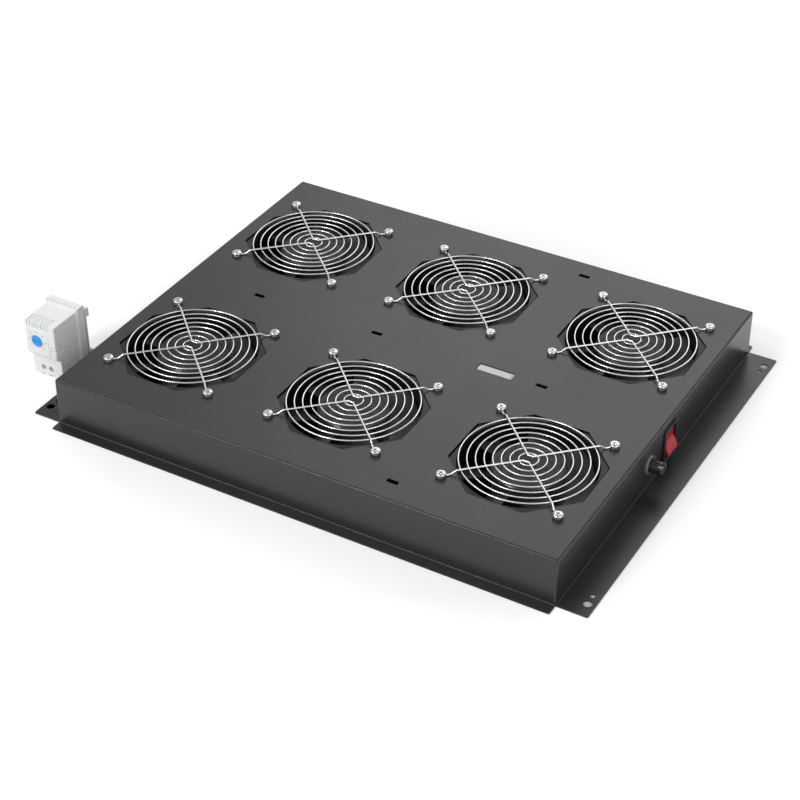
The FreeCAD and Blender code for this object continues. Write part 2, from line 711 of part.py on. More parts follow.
def terminal_block():
    """Moulded strip under the tray, with a pad that fills the window."""
    low = SEAT_Z - TERMINAL_HEIGHT
    body = centred_box(TERMINAL_LENGTH, TERMINAL_WIDTH, TERMINAL_HEIGHT, TERMINAL_X, 0, low)
    pad = centred_box(
        WINDOW_LENGTH - 2 * TERMINAL_PAD_GAP, WINDOW_WIDTH - 2 * TERMINAL_PAD_GAP,
        SHEET - TERMINAL_PAD_RECESS, TERMINAL_X, 0, SEAT_Z,
    )
    notch = centred_box(
        2 * TERMINAL_NOTCH_DEPTH, TERMINAL_NOTCH, SHEET,
        TERMINAL_X + WINDOW_LENGTH / 2 - TERMINAL_PAD_GAP, 0, SEAT_Z,
    )
    holes = [notch]
    for x in port_places():
        for side in (-1, 1):
            port = Part.makeCylinder(TERMINAL_PORT_RADIUS, TERMINAL_PORT_DEPTH + OVERCUT)
            port.rotate(Vector(), Vector(1, 0, 0), 90 * side)
            y = side * (TERMINAL_WIDTH / 2 + OVERCUT)
            holes.append(moved(port, Vector(x, y, SEAT_Z - TERMINAL_PORT_DROP)))
        bore = TERMINAL_SCREW_SINK + TERMINAL_SCREW_LENGTH + OVERCUT
        radius = TERMINAL_SCREW_RADIUS + THREAD_CLEARANCE
        holes.append(Part.makeCylinder(radius, bore, Vector(x, 0, low - OVERCUT)))
    return body.fuse(pad).cut(holes)


def terminal_screws():
    """Clamping screws, reached from under the tray."""
    low = SEAT_Z - TERMINAL_HEIGHT + TERMINAL_SCREW_SINK
    return Part.makeCompound([
        Part.makeCylinder(TERMINAL_SCREW_RADIUS, TERMINAL_SCREW_LENGTH, Vector(x, 0, low))
        for x in port_places()
    ])


# ---- rocker switch: built facing +Z, its long side along X, then turned to the wall -------------
def on_wall(shape, y):
    """Turn a part built facing +Z so that it faces +X in the switch wall."""
    return along_x(shape, END_WALL_X, y, PANEL_Z)


def rocker_cavity_half():
    """Half height of the opening that the rocker swings in."""
    tilt = math.radians(ROCKER_TILT)
    horn = ROCKER_HALF * math.cos(tilt) + ROCKER_HORN * math.sin(tilt)
    return max(horn, math.hypot(ROCKER_BACK_HALF, ROCKER_TAIL)) + ROCKER_END_GAP


def switch_housing():
    """Bezel and body with the well for the rocker and the holes for its pins."""
    bezel = rounded_box(
        SWITCH_BEZEL_HEIGHT, SWITCH_BEZEL_WIDTH, SWITCH_BEZEL, SWITCH_BEZEL_CORNER, Vector()
    )
    rim = [e for e in bezel.Edges if abs(e.BoundBox.ZMin - SWITCH_BEZEL) < 1e-6]
    bezel = bezel.makeChamfer(SWITCH_BEZEL / 3, rim)
    body = centred_box(
        SWITCH_BODY_HEIGHT, SWITCH_BODY_WIDTH, SWITCH_BODY_DEPTH, 0, 0, -SWITCH_BODY_DEPTH
    )
    well_depth = ROCKER_PIVOT_DEPTH + rocker_cavity_half() * math.sin(math.radians(45))
    well = centred_box(
        2 * rocker_cavity_half(), ROCKER_WIDTH + 2 * ROCKER_SIDE_GAP,
        well_depth + SWITCH_BEZEL + OVERCUT, 0, 0, -well_depth,
    )
    pins = Part.makeCylinder(PIVOT_RADIUS + PIVOT_FIT, ROCKER_WIDTH + 2 * PIVOT_LENGTH)
    pins = along_y(pins, 0, -ROCKER_WIDTH / 2 - PIVOT_LENGTH, -ROCKER_PIVOT_DEPTH)
    return on_wall(bezel.fuse(body).cut([well, pins]), SWITCH_Y)


def switch_rocker():
    """Two-faced rocker on its pins, with the upper end pressed in."""
    middle = math.sin(math.radians(45)) * ROCKER_TAIL_HALF
    upper = [
        Vector(ROCKER_HALF, 0, ROCKER_HORN), Vector(ROCKER_BACK_HALF, 0, ROCKER_TAIL),
        Vector(ROCKER_TAIL_HALF, 0, -ROCKER_TAIL), Vector(middle, 0, -2 * ROCKER_TAIL),
    ]
    lower = [Vector(-p.x, 0, p.z) for p in reversed(upper)]
    points = [Vector(0, 0, ROCKER_FACE)] + upper + lower
    body = Part.Face(Part.makePolygon(points + points[:1])).extrude(Vector(0, ROCKER_WIDTH, 0))
    body.translate(Vector(0, -ROCKER_WIDTH / 2, 0))
    pins = Part.makeCylinder(PIVOT_RADIUS, ROCKER_WIDTH + 2 * PIVOT_LENGTH)
    pins = along_y(pins, 0, -ROCKER_WIDTH / 2 - PIVOT_LENGTH, 0)
    rocker = body.fuse(pins)
    rocker.rotate(Vector(), Vector(0, 1, 0), -ROCKER_TILT)
    return on_wall(moved(rocker, Vector(0, 0, -ROCKER_PIVOT_DEPTH)), SWITCH_Y)


def switch_terminals():
    """Four blade terminals on the back of the switch."""
    length, thick, width = BLADE_TERMINAL
    blades = []
    for x in (-BLADE_TERMINAL_Z, BLADE_TERMINAL_Z):
        for y in (-BLADE_TERMINAL_Y, BLADE_TERMINAL_Y):
            blades.append(
                centred_box(thick, width, length, x, y, -SWITCH_BODY_DEPTH - length)
            )
    return on_wall(Part.makeCompound(blades), SWITCH_Y)


# ---- fuse holder: built pointing up Z from the wall face, then turned to the wall ---------------
def fuse_holder():
    """Flanged barrel, closed at its inner end, with a solder tab."""
    bore = CARRIER_RADIUS + CARRIER_FIT
    end = -FUSE_BARREL_LENGTH
    barrel = turned([
        (0, end), (FUSE_BARREL_RADIUS, end), (FUSE_BARREL_RADIUS, 0), (FUSE_FLANGE_RADIUS, 0),
        (FUSE_FLANGE_RADIUS, FUSE_FLANGE), (bore, FUSE_FLANGE), (bore, end + FUSE_END_WALL),
        (0, end + FUSE_END_WALL),
    ])
    length, thick, width = FUSE_TAB
    tab = centred_box(thick, width, length, 0, 0, end - length)
    return on_wall(barrel.fuse(tab), FUSE_Y)


def fuse_holder_nut():
    nut = hexagon(FUSE_NUT_FLATS, FUSE_NUT_HEIGHT)
    bore = Part.makeCylinder(FUSE_BARREL_RADIUS + THREAD_CLEARANCE, FUSE_NUT_HEIGHT)
    return on_wall(moved(nut.cut(bore), Vector(0, 0, -SHEET - FUSE_NUT_HEIGHT)), FUSE_Y)


def fuse_carrier():
    """Sleeve that draws out with the fuse; the cap turns on the stub in front."""
    front = FUSE_FLANGE
    low = front - CARRIER_LENGTH
    seat = low + FUSE_LENGTH - FUSE_BACK_GAP
    return on_wall(turned([
        (0, front + CARRIER_STUB), (CARRIER_STUB_RADIUS, front + CARRIER_STUB),
        (CARRIER_STUB_RADIUS, front), (CARRIER_RADIUS, front), (CARRIER_RADIUS, low),
        (FUSE_RADIUS, low), (FUSE_RADIUS, seat), (0, seat),
    ]), FUSE_Y)


def fuse_link():
    """Cartridge fuse, held in the sleeve and proud of its inner end."""
    low = FUSE_FLANGE - CARRIER_LENGTH - FUSE_BACK_GAP
    return on_wall(Part.makeCylinder(FUSE_RADIUS, FUSE_LENGTH, Vector(0, 0, low)), FUSE_Y)


def fuse_cap():
    """Gripped cap with a screwdriver slot."""
    low = FUSE_FLANGE + CAP_GAP
    top = low + CAP_LENGTH
    bore_top = FUSE_FLANGE + CARRIER_STUB + CAP_GAP
    bore = CARRIER_STUB_RADIUS + CAP_FIT
    edge = CAP_GRIP_DEPTH / 2
    cap = turned([
        (bore, low), (CAP_RADIUS, low), (CAP_RADIUS, top - edge), (CAP_RADIUS - edge, top),
        (0, top), (0, bore_top), (bore, bore_top),
    ])
    cuts = [centred_box(2 * CAP_RADIUS, CAP_SLOT[1], CAP_SLOT[0], 0, 0, top - CAP_SLOT[0])]
    for i in range(CAP_GRIPS):
        grip = centred_box(
            2 * CAP_GRIP_DEPTH, CAP_GRIP_WIDTH, CAP_LENGTH, CAP_RADIUS, 0, low + CAP_GAP
        )
        grip.rotate(Vector(), Vector(0, 0, 1), 360 / CAP_GRIPS * (i + 0.5))
        cuts.append(grip)
    return on_wall(cap.cut(cuts), FUSE_Y)


# ---- cable grommet --------------------------------------------------------------------------------
def cable_grommet():
    """Rubber ring that lines the cable outlet in the back wall."""
    grommet = turned([
        (GROMMET_BORE_RADIUS, -SHEET - GROMMET_LIP), (GROMMET_RADIUS, -SHEET - GROMMET_LIP),
        (GROMMET_RADIUS, -SHEET), (GROMMET_HOLE_RADIUS, -SHEET), (GROMMET_HOLE_RADIUS, 0),
        (GROMMET_RADIUS, 0), (GROMMET_RADIUS, GROMMET_LIP / 2),
        (GROMMET_RADIUS - GROMMET_LIP / 2, GROMMET_LIP), (GROMMET_BORE_RADIUS, GROMMET_LIP),
    ])
    return along_y(grommet, GROMMET_X, BACK_WALL_Y, PANEL_Z)


# ---- thermostat: built with its left front bottom corner at the origin ------------------------------
def placed(shape):
    corner = Vector(-END_WALL_X - THERMOSTAT_OUT, THERMOSTAT_IN - BACK_WALL_Y, 0)
    return moved(shape, corner)


def quarter(start, end, centre):
    """Arc from start to end about a centre, the short way round."""
    half = (start - centre) + (end - centre)
    middle = centre + half.normalize() * (start - centre).Length
    return Part.Arc(start, middle, end).toShape()


def thermostat_profile():
    """Side view of the housing: straight front, curved step back to the wiring face."""
    half_step = THERMO_STEP / 2
    half_drop = (THERMO_STEP_TOP - THERMO_STEP_BOTTOM) / 2
    radius = (half_step ** 2 + half_drop ** 2) / (2 * half_step)
    step_top = Vector(0, 0, THERMO_STEP_TOP)
    step_middle = Vector(0, half_step, THERMO_STEP_TOP - half_drop)
    step_bottom = Vector(0, THERMO_STEP, THERMO_STEP_BOTTOM)
    foot_top = Vector(0, THERMO_STEP, THERMO_FOOT)
    foot_back = Vector(0, THERMO_STEP + THERMO_FOOT, 0)
    back_low = Vector(0, THERMO_DEPTH, 0)
    back_high = Vector(0, THERMO_DEPTH, THERMO_HEIGHT)
    front_high = Vector(0, 0, THERMO_HEIGHT)
    return Part.Wire([
        Part.makeLine(front_high, step_top),
        quarter(step_top, step_middle, step_top + Vector(0, radius, 0)),
        quarter(step_middle, step_bottom, step_bottom - Vector(0, radius, 0)),
        Part.makeLine(step_bottom, foot_top),
        quarter(foot_top, foot_back, Vector(0, THERMO_STEP + THERMO_FOOT, THERMO_FOOT)),
        Part.makeLine(foot_back, back_low),
        Part.makeLine(back_low, back_high),
        Part.makeLine(back_high, front_high),
    ])


def vent_cutters():
    """Slots that wrap from the top over the front edge, and four round each upright edge."""
    cutters = []
    for i in range(VENTS):
        x = VENT_FIRST + VENT_PITCH * i - VENT_WIDTH / 2
        cutters.append(Part.makeBox(
            VENT_WIDTH, VENT_TOP_RUN + OVERCUT, VENT_DEPTH + OVERCUT,
            Vector(x, -OVERCUT, THERMO_HEIGHT - VENT_DEPTH),
        ))
        cutters.append(Part.makeBox(
            VENT_WIDTH, VENT_DEPTH + OVERCUT, VENT_FRONT_RUN + OVERCUT,
            Vector(x, -OVERCUT, THERMO_HEIGHT - VENT_FRONT_RUN),
        ))
    for i in range(SIDE_VENTS):
        z = SIDE_VENT_TOP - SIDE_VENT_PITCH * i - VENT_WIDTH / 2
        cutters.append(Part.makeBox(
            SIDE_VENT_FRONT_RUN + OVERCUT, VENT_DEPTH + OVERCUT, VENT_WIDTH,
            Vector(THERMO_WIDTH - SIDE_VENT_FRONT_RUN, -OVERCUT, z),
        ))
        cutters.append(Part.makeBox(
            VENT_DEPTH + OVERCUT, SIDE_VENT_RUN + OVERCUT, VENT_WIDTH,
            Vector(THERMO_WIDTH - VENT_DEPTH, -OVERCUT, z),
        ))
        cutters.append(Part.makeBox(
            LEFT_VENT_RUN + OVERCUT, LEFT_VENT_RUN + OVERCUT, VENT_WIDTH,
            Vector(-OVERCUT, -OVERCUT, z),
        ))
    return cutters


def slope_cutters():
    """Short slanted slots in the slope under the dial panel."""
    cutters = []
    for i in range(SLOPE_SLOTS):
        slot = centred_box(*SLOPE_SLOT, 0, 0, -SLOPE_SLOT[2] / 2)
        slot.rotate(Vector(), Vector(0, 1, 0), -SLOPE_SLOT_SLANT)
        x = SLOPE_SLOT_FIRST + SLOPE_SLOT_PITCH * i
        cutters.append(moved(slot, Vector(x, SLOPE_SLOT_BACK * THERMO_STEP, SLOPE_SLOT_Z)))
    return cutters


def collar():
    """Wider back of the housing."""
    block = Part.makeBox(
        THERMO_WIDTH + 2 * THERMO_COLLAR_SIDE, THERMO_DEPTH - THERMO_COLLAR_Y,
        THERMO_HEIGHT + THERMO_COLLAR_TOP, Vector(-THERMO_COLLAR_SIDE, THERMO_COLLAR_Y, 0),
    )
    front = [
        e for e in block.Edges
        if e.BoundBox.YMax < THERMO_COLLAR_Y + 1e-6 and e.BoundBox.ZMax > THERMO_HEIGHT / 2
    ]
    return block.makeChamfer(THERMO_EDGE, front)


def collar_cutters():
    """Grooves across the front edge of the collar's top."""
    pitch = THERMO_WIDTH / THERMO_RIBS
    width, run, depth = THERMO_RIB
    top = THERMO_HEIGHT + THERMO_COLLAR_TOP
    return [
        centred_box(
            width, 2 * run, depth + OVERCUT, pitch * (i + 0.5), THERMO_COLLAR_Y, top - depth
        )
        for i in range(THERMO_RIBS)
    ]


def dial_panel():
    """Raised panel round the dial and the rim that the dial turns in."""
    width = LABEL_RIGHT - THERMO_EDGE
    panel = Part.makeBox(
        width, LABEL_RISE + THERMO_EDGE, LABEL_TOP - THERMO_STEP_TOP,
        Vector(THERMO_EDGE, -LABEL_RISE, THERMO_STEP_TOP),
    )
    corner = [
        e for e in edges_along(panel, Vector(0, 1, 0))
        if e.BoundBox.XMin > THERMO_EDGE and e.BoundBox.ZMin > THERMO_STEP_TOP
    ]
    panel = panel.makeFillet(LABEL_CORNER, corner)
    rim = Part.makeCylinder(
        DIAL_RADIUS + DIAL_GAP + DIAL_RIM, DIAL_RIM_RISE + LABEL_RISE + THERMO_EDGE
    )
    rim = along_y(rim, DIAL_X, -LABEL_RISE - DIAL_RIM_RISE, DIAL_Z)
    return [panel, rim]


def thermostat_housing():
    body = Part.Face(thermostat_profile()).extrude(Vector(THERMO_WIDTH, 0, 0))
    edges = [
        e for e in body.Edges
        if e.BoundBox.XLength < 1e-6 and e.BoundBox.YMax < THERMO_DEPTH - 1e-6
        or e.BoundBox.XLength < 1e-6 and e.BoundBox.ZMin > THERMO_HEIGHT - 1e-6
    ]
    body = body.makeFillet(THERMO_EDGE, edges).fuse(dial_panel() + [collar()])
    face = -LABEL_RISE - DIAL_RIM_RISE
    pocket = Part.makeCylinder(DIAL_RADIUS + DIAL_GAP, DIAL_SUNK - face)
    pocket = along_y(pocket, DIAL_X, face, DIAL_Z)
    stem = Part.makeCylinder(DIAL_STEM_RADIUS + DIAL_STEM_FIT, DIAL_STEM + DIAL_FLOOR_GAP)
    stem = along_y(stem, DIAL_X, DIAL_SUNK, DIAL_Z)
    cutters = vent_cutters() + slope_cutters() + collar_cutters() + [pocket, stem]
    for x in WIRE_SCREWS_X:
        hole = Part.makeCylinder(WIRE_SCREW_HOLE, WIRE_SCREW_DEPTH + OVERCUT)
        cutters.append(along_y(hole, x, THERMO_STEP - OVERCUT, WIRE_SCREW_Z))
        size_x, size_y, size_z = WIRE_ENTRY
        cutters.append(
            centred_box(size_x, size_y, size_z + OVERCUT, x, WIRE_ENTRY_Y, -OVERCUT)
        )
    return placed(body.cut(cutters))


def thermostat_base():
    """Base plate behind a dark groove, with the slot for the rail in its back."""
    front = THERMO_DEPTH + THERMO_GROOVE
    top = THERMO_HEIGHT - THERMO_BASE_DROP
    slot_top = RAIL_SLOT_BOTTOM + RAIL_HEIGHT
    slot_y = THERMO_TOTAL - RAIL_SLOT_DEPTH
    hook_y = slot_y + RAIL_HOOK_THICK
    outline = [
        (front, 0), (front, top), (THERMO_TOTAL - THERMO_BASE_EDGE, top),
        (THERMO_TOTAL, top - THERMO_BASE_EDGE), (THERMO_TOTAL, slot_top), (hook_y, slot_top),
        (hook_y, slot_top + RAIL_HOOK), (slot_y, slot_top + RAIL_HOOK),
        (slot_y, RAIL_SLOT_BOTTOM - RAIL_HOOK), (hook_y, RAIL_SLOT_BOTTOM - RAIL_HOOK),
        (hook_y, RAIL_SLOT_BOTTOM), (THERMO_TOTAL, RAIL_SLOT_BOTTOM), (THERMO_TOTAL, 0),
    ]
    width = THERMO_WIDTH + 2 * THERMO_COLLAR_SIDE
    points = [Vector(-THERMO_COLLAR_SIDE, y, z) for y, z in outline]
    plate = Part.Face(Part.makePolygon(points + points[:1])).extrude(Vector(width, 0, 0))
    neck = Part.makeBox(
        THERMO_WIDTH - 2 * THERMO_GROOVE_DEPTH, THERMO_GROOVE,
        top - 2 * THERMO_GROOVE_DEPTH, Vector(THERMO_GROOVE_DEPTH, THERMO_DEPTH, THERMO_GROOVE_DEPTH),
    )
    return placed(plate.fuse(neck))


def thermostat_dial():
    """Setting dial with its stem and a screwdriver slot."""
    front = -LABEL_RISE - DIAL_PROUD
    back = DIAL_SUNK - DIAL_FLOOR_GAP
    disc = Part.makeCylinder(DIAL_RADIUS, back - front)
    disc = disc.makeChamfer(DIAL_RIM_RISE, [disc.Edges[2]])
    stem = Part.makeCylinder(DIAL_STEM_RADIUS, DIAL_STEM + DIAL_FLOOR_GAP, Vector(0, 0, back - front))
    length, width, depth = DIAL_SLOT
    slot = centred_box(length, width, depth, 0, 0, 0)
    dial = disc.fuse(stem).cut(slot)
    return placed(along_y(dial, DIAL_X, front, DIAL_Z))


def thermostat_screws():
    """Clamping screws at the bottom of their wells."""
    screws = []
    for x in WIRE_SCREWS_X:
        screw = Part.makeCylinder(WIRE_SCREW_RADIUS, WIRE_SCREW_DEPTH - WIRE_SCREW_SINK)
        screws.append(along_y(screw, x, THERMO_STEP + WIRE_SCREW_SINK, WIRE_SCREW_Z))
    return placed(Part.makeCompound(screws))


def build():
    nodes = {
        "cable_grommet": cable_grommet(),
        "guard_screws": at_screws(guard_screw()),
        "guard_nuts": at_screws(guard_nut()),
        "terminal_block": terminal_block(),
        "terminal_screws": terminal_screws(),
        "switch_housing": switch_housing(),
        "switch_rocker": switch_rocker(),
        "switch_terminals": switch_terminals(),
        "fuse_holder": fuse_holder(),
        "fuse_holder_nut": fuse_holder_nut(),
        "fuse_carrier": fuse_carrier(),
        "fuse_link": fuse_link(),
        "fuse_cap": fuse_cap(),
        "thermostat_housing": thermostat_housing(),
        "thermostat_base": thermostat_base(),
        "thermostat_dial": thermostat_dial(),
        "thermostat_screws": thermostat_screws(),
    }
    nodes.update(tray_panels())
    frame, mount, bush, stator, rotor, guard = (
        fan_frame(), motor_mount(), fan_bush(), fan_stator(), fan_rotor(), finger_guard()
    )
    for number, centre in enumerate(fan_centres(), start=1):
        seat = centre + Vector(0, 0, SEAT_Z)
        turned_rotor = rotor.copy()
        turned_rotor.rotate(Vector(), Vector(0, 0, 1), ROTOR_REST_ANGLES[number - 1])
        nodes[f"fan_frame_{number}"] = moved(frame, seat)
        nodes[f"motor_mount_{number}"] = moved(mount, seat)
        nodes[f"fan_bush_{number}"] = moved(bush, seat)
        nodes[f"fan_stator_{number}"] = moved(stator, seat)
        nodes[f"fan_rotor_{number}"] = moved(turned_rotor, seat)
        nodes[f"finger_guard_{number}"] = moved(guard, centre + Vector(0, 0, TRAY_HEIGHT))
    return nodes


def main():
    os.makedirs("parts", exist_ok=True)
    for name, shape in build().items():
        shape.exportStep(f"parts/{name}.step")
        print(name, "solids", len(shape.Solids), "valid", shape.isValid())


main()
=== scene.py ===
import math
import random

import bmesh
import bpy
from mathutils import Matrix, Vector


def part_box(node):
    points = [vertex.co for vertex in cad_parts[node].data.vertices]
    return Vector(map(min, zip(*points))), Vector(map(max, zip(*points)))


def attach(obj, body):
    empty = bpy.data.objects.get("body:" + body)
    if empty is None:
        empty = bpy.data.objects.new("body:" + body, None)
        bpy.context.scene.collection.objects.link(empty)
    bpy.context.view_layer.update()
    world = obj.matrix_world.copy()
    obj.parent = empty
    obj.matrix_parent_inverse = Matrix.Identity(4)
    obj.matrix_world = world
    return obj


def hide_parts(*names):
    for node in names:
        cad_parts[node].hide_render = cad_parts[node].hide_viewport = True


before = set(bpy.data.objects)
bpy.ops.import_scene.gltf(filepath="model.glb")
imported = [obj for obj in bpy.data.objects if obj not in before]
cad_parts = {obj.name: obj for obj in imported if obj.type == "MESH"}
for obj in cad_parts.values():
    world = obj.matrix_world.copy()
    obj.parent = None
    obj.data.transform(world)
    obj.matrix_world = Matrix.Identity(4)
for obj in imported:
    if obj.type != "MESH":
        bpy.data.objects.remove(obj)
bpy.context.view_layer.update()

bl_info = {
    "name": "Rack Fan Tray",
    "version": (1, 0, 0),
    "blender": (4, 5, 0),
    "location": "3D View > Sidebar > Fan Tray",
    "description": "Dresses a rack fan tray with its fans, guards, switch and thermostat",
    "category": "Add Mesh",
}

FANS = range(1, 7)
TRAY_NODES = ("tray_top", "tray_front_wall", "tray_back_wall", "tray_left_end", "tray_switch_end")

# Guard screws
SCREW_PITCH = 0.1048            # between the guard screws of one fan
SCREW_SHANK_RADIUS = 0.002
SCREW_POINT = 0.8               # share of the shank's radius
THREAD_PITCH = 0.0007
THREAD_ROOT = 0.86              # share of the shank's radius
PAN_HEAD = (                    # (share of the head's radius, share of its height above the seat)
    (0.0, 1.0), (0.62, 0.97), (0.82, 0.90), (0.95, 0.75), (1.0, 0.55), (1.0, 0.06), (0.97, 0.0),
)
ROUND_STEPS = 40                # faces round a screw
SMOOTH_UNDER = 40               # degrees between faces that shade as one
TURNS_SEED = 5                  # for how far each screw is turned
RECESS_DEPTH = 0.0021
RECESS_BOTTOM = 0.48            # corner radii of a recess bar, as shares of the recess's span
RECESS_TOP = 0.93
RECESS_BAR = 0.3                # a bar's width over its length

# Print round the thermostat's dial
TICKS = 25
TICKS_PER_NUMBER = 4
NUMBER_STEP = 10
SCALE_SWEEP = 270               # degrees
TICKS_RADIUS = 0.0072
TICK_WIDTH = 0.00022
TICK_LENGTH = 0.0008
LONG_TICK_LENGTH = 0.0013       # where a number stands
NUMBERS_RADIUS = 0.0097
NUMBER_SIZE = 0.0019
PANEL_BACK = 0.00046            # from the front of the housing back to the printed panel

# Materials
FINER = 2.7                     # how much finer the grain's second noise is than its first
COARSE_SHARE = 0.65             # of the grain's height
LAMINATIONS = 320.0             # scale of the stators' rings
BLADE_GLOSS = 0.5               # specular levels of the rotors
HUB_END_GLOSS = 0.12
SEAM = 0.0012                   # dark seam between the thermostat's housing and base
SEAM_COLOUR = (0.03, 0.03, 0.032)
# Painted highlight: a light grey ring on the fuse holder's flange rim, where light catches it
RIM_HIGHLIGHT_START = 0.93                # share of the fuse holder's radius where its painted rim highlight starts
RIM_HIGHLIGHT_COLOUR = (0.30, 0.30, 0.30)
SHARP = 0.00005                 # how near a mask comes to an edge

# Floor
OPEN_FLOOR = 0.85               # how white the open floor is
SHADED_WHITE_UNDER_FLANGE = 0.6              # and under the switch end's flange, seen through its holes: painted shade
GLOW_NEAR = 0.28                # distances from the origin between which the floor's glow rises; the weaker glow near the tray is a painted contact shadow
GLOW_FAR = 0.62
SHADOWED_GLOW = 0.27
MOST_GLOW = 0.75

# Lights
ROOM_LIGHT = 0.85               # strength of the room's light where nothing dims it
LEAST_ROOM_LIGHT = 0.3
ROOM_DIMMING = (                # (axis, side, where the dimming starts, how steep it is)
    ("X", 1.0, 0.0, 0.45),
    ("Z", 1.0, 0.66, 3.0),
    ("X", -1.0, 0.48, 2.0),
)
SOFTBOXES = (                   # (name, place, width and height, power)
    ("back_softbox", (-0.62, 2.30, 1.85), (1.8, 1.1), 7.4),
    ("front_softbox", (-0.80, -1.70, 1.70), (0.5, 0.5), 16.0),
    ("side_softbox", (1.7, -0.5, 1.8), (1.2, 1.2), 11.0),
    ("left_softbox", (-1.56, -0.60, 1.98), (0.8, 0.8), 9.0),
)


# ---- settings -----------------------------------------------------------------------------------
def colour_setting(name, description, default):
    """Property for a linear RGB colour."""
    return bpy.props.FloatVectorProperty(
        name=name, description=description, subtype="COLOR", size=3, min=0, max=1, default=default,
    )


def length_setting(name, description, least, most, default):
    """Property for a length in metres."""
    return bpy.props.FloatProperty(
        name=name, description=description, subtype="DISTANCE", unit="LENGTH",
        min=least, max=most, default=default,
    )


class FanTrayFinishes(bpy.types.PropertyGroup):
    """Colours of the fan tray's finishes."""

    coat: colour_setting("Powder coat", "Colour of the coated sheet", (0.022, 0.022, 0.023))
    wire: colour_setting("Wire", "Colour of the plated guard wire", (0.94, 0.945, 0.95))
    zinc: colour_setting("Zinc", "Colour of the plated screws and nuts", (0.82, 0.82, 0.825))
    casting: colour_setting("Casting", "Colour of the fans' painted frames",
                            (0.007, 0.007, 0.0075))
    rotor: colour_setting("Rotor", "Colour of the fans' hubs and blades", (0.038, 0.038, 0.039))
    nylon: colour_setting("Nylon", "Colour of the terminal block", (0.62, 0.62, 0.60))
    rocker: colour_setting("Rocker", "Colour of the switch rocker", (0.50, 0.012, 0.020))
    moulding: colour_setting("Black moulding", "Colour of the switch body and the fuse holder",
                             (0.014, 0.014, 0.015))
    thermostat: colour_setting("Thermostat", "Colour of the thermostat's housing",
                               (0.90, 0.905, 0.905))
    dial: colour_setting("Dial", "Colour of the thermostat's dial", (0.008, 0.34, 0.90))


class FanTraySizes(bpy.types.PropertyGroup):
    """Sizes that the dressing adds to the solids."""

    grain: length_setting("Coat grain", "Width of one bump of the powder coat",
                          0.0001, 0.01, 0.0011)
    screw_head: length_setting("Screw head", "Height of a guard screw's head", 0.001, 0.006, 0.003)
    recess: length_setting("Screw recess", "Span of the cross recess in a guard screw",
                           0.001, 0.006, 0.0046)
    floor: length_setting("Floor", "Side of the floor that the tray stands on", 1.0, 40.0, 12.0)
    camera_place: bpy.props.FloatVectorProperty(
        name="Camera", description="Where the camera stands",
        subtype="TRANSLATION", unit="LENGTH", size=3, default=(0.7032, -1.2369, 1.01265),
    )
    camera_turn: bpy.props.FloatVectorProperty(
        name="Camera turn", description="How the camera is turned",
        subtype="EULER", unit="ROTATION", size=3,
        default=(math.radians(54.18), math.radians(0.138), math.radians(29.967)),
    )
    lens: bpy.props.FloatProperty(
        name="Lens", description="Focal length of the camera in millimetres",
        min=20.0, max=200.0, default=87.67,
    )


def finishes():
    return bpy.context.scene.fan_tray_finishes


def sizes():
    return bpy.context.scene.fan_tray_sizes


# ---- shader groups ------------------------------------------------------------------------------
def group_tree(name, inputs, outputs):
    """Empty node group with float inputs and the outputs given as (name, socket type)."""
    tree = bpy.data.node_groups.new(name, "ShaderNodeTree")
    for label, value in inputs:
        socket = tree.interface.new_socket(label, in_out="INPUT", socket_type="NodeSocketFloat")
        socket.default_value = value
    for label, kind in outputs:
        tree.interface.new_socket(label, in_out="OUTPUT", socket_type=kind)
    return tree, tree.nodes.new("NodeGroupInput"), tree.nodes.new("NodeGroupOutput")


def maths(tree, operation, *operands):
    """Math node whose operands are sockets or plain numbers."""
    node = tree.nodes.new("ShaderNodeMath")
    node.operation = operation
    for place, operand in enumerate(operands):
        if isinstance(operand, bpy.types.NodeSocket):
            tree.links.new(operand, node.inputs[place])
        else:
            node.inputs[place].default_value = operand
    return node.outputs["Value"]


def coordinates(tree, kind="Object"):
    """Texture coordinates, as one vector."""
    return tree.nodes.new("ShaderNodeTexCoord").outputs[kind]


def split_coordinates(tree, kind="Object"):
    """Texture coordinates, as outputs named by axis."""
    split = tree.nodes.new("ShaderNodeSeparateXYZ")
    tree.links.new(coordinates(tree, kind), split.inputs["Vector"])
    return split.outputs


def noise(tree, scale, detail, roughness=0.5):
    """Noise on object coordinates; scale is a socket with the number of cells per metre."""
    node = tree.nodes.new("ShaderNodeTexNoise")
    tree.links.new(coordinates(tree), node.inputs["Vector"])
    tree.links.new(scale, node.inputs["Scale"])
    node.inputs["Detail"].default_value = detail
    node.inputs["Roughness"].default_value = roughness
    return node.outputs["Fac"]


def grain_group():
    """Fine surface grain: a height and a speckle mask from noise of a given cell size."""
    name = "Fine grain"
    if name in bpy.data.node_groups:
        return bpy.data.node_groups[name]
    tree, inside, outside = group_tree(
        name,
        [("Cell size", 0.001), ("Speckle contrast", 3.0)],
        [("Height", "NodeSocketFloat"), ("Speckle", "NodeSocketFloat")],
    )
    scale = maths(tree, "DIVIDE", 1.0, inside.outputs["Cell size"])
    coarse = noise(tree, scale, 2.0)
    fine = noise(tree, maths(tree, "MULTIPLY", scale, FINER), 2.0)
    height = maths(tree, "ADD", maths(tree, "MULTIPLY", coarse, COARSE_SHARE),
                   maths(tree, "MULTIPLY", fine, 1 - COARSE_SHARE))
    centred = maths(tree, "SUBTRACT", fine, 0.5)
    speckle = maths(tree, "MULTIPLY", centred, inside.outputs["Speckle contrast"])
    speckle = maths(tree, "ADD", speckle, 0.5)
    tree.links.new(height, outside.inputs["Height"])
    tree.links.new(speckle, outside.inputs["Speckle"])
    return tree


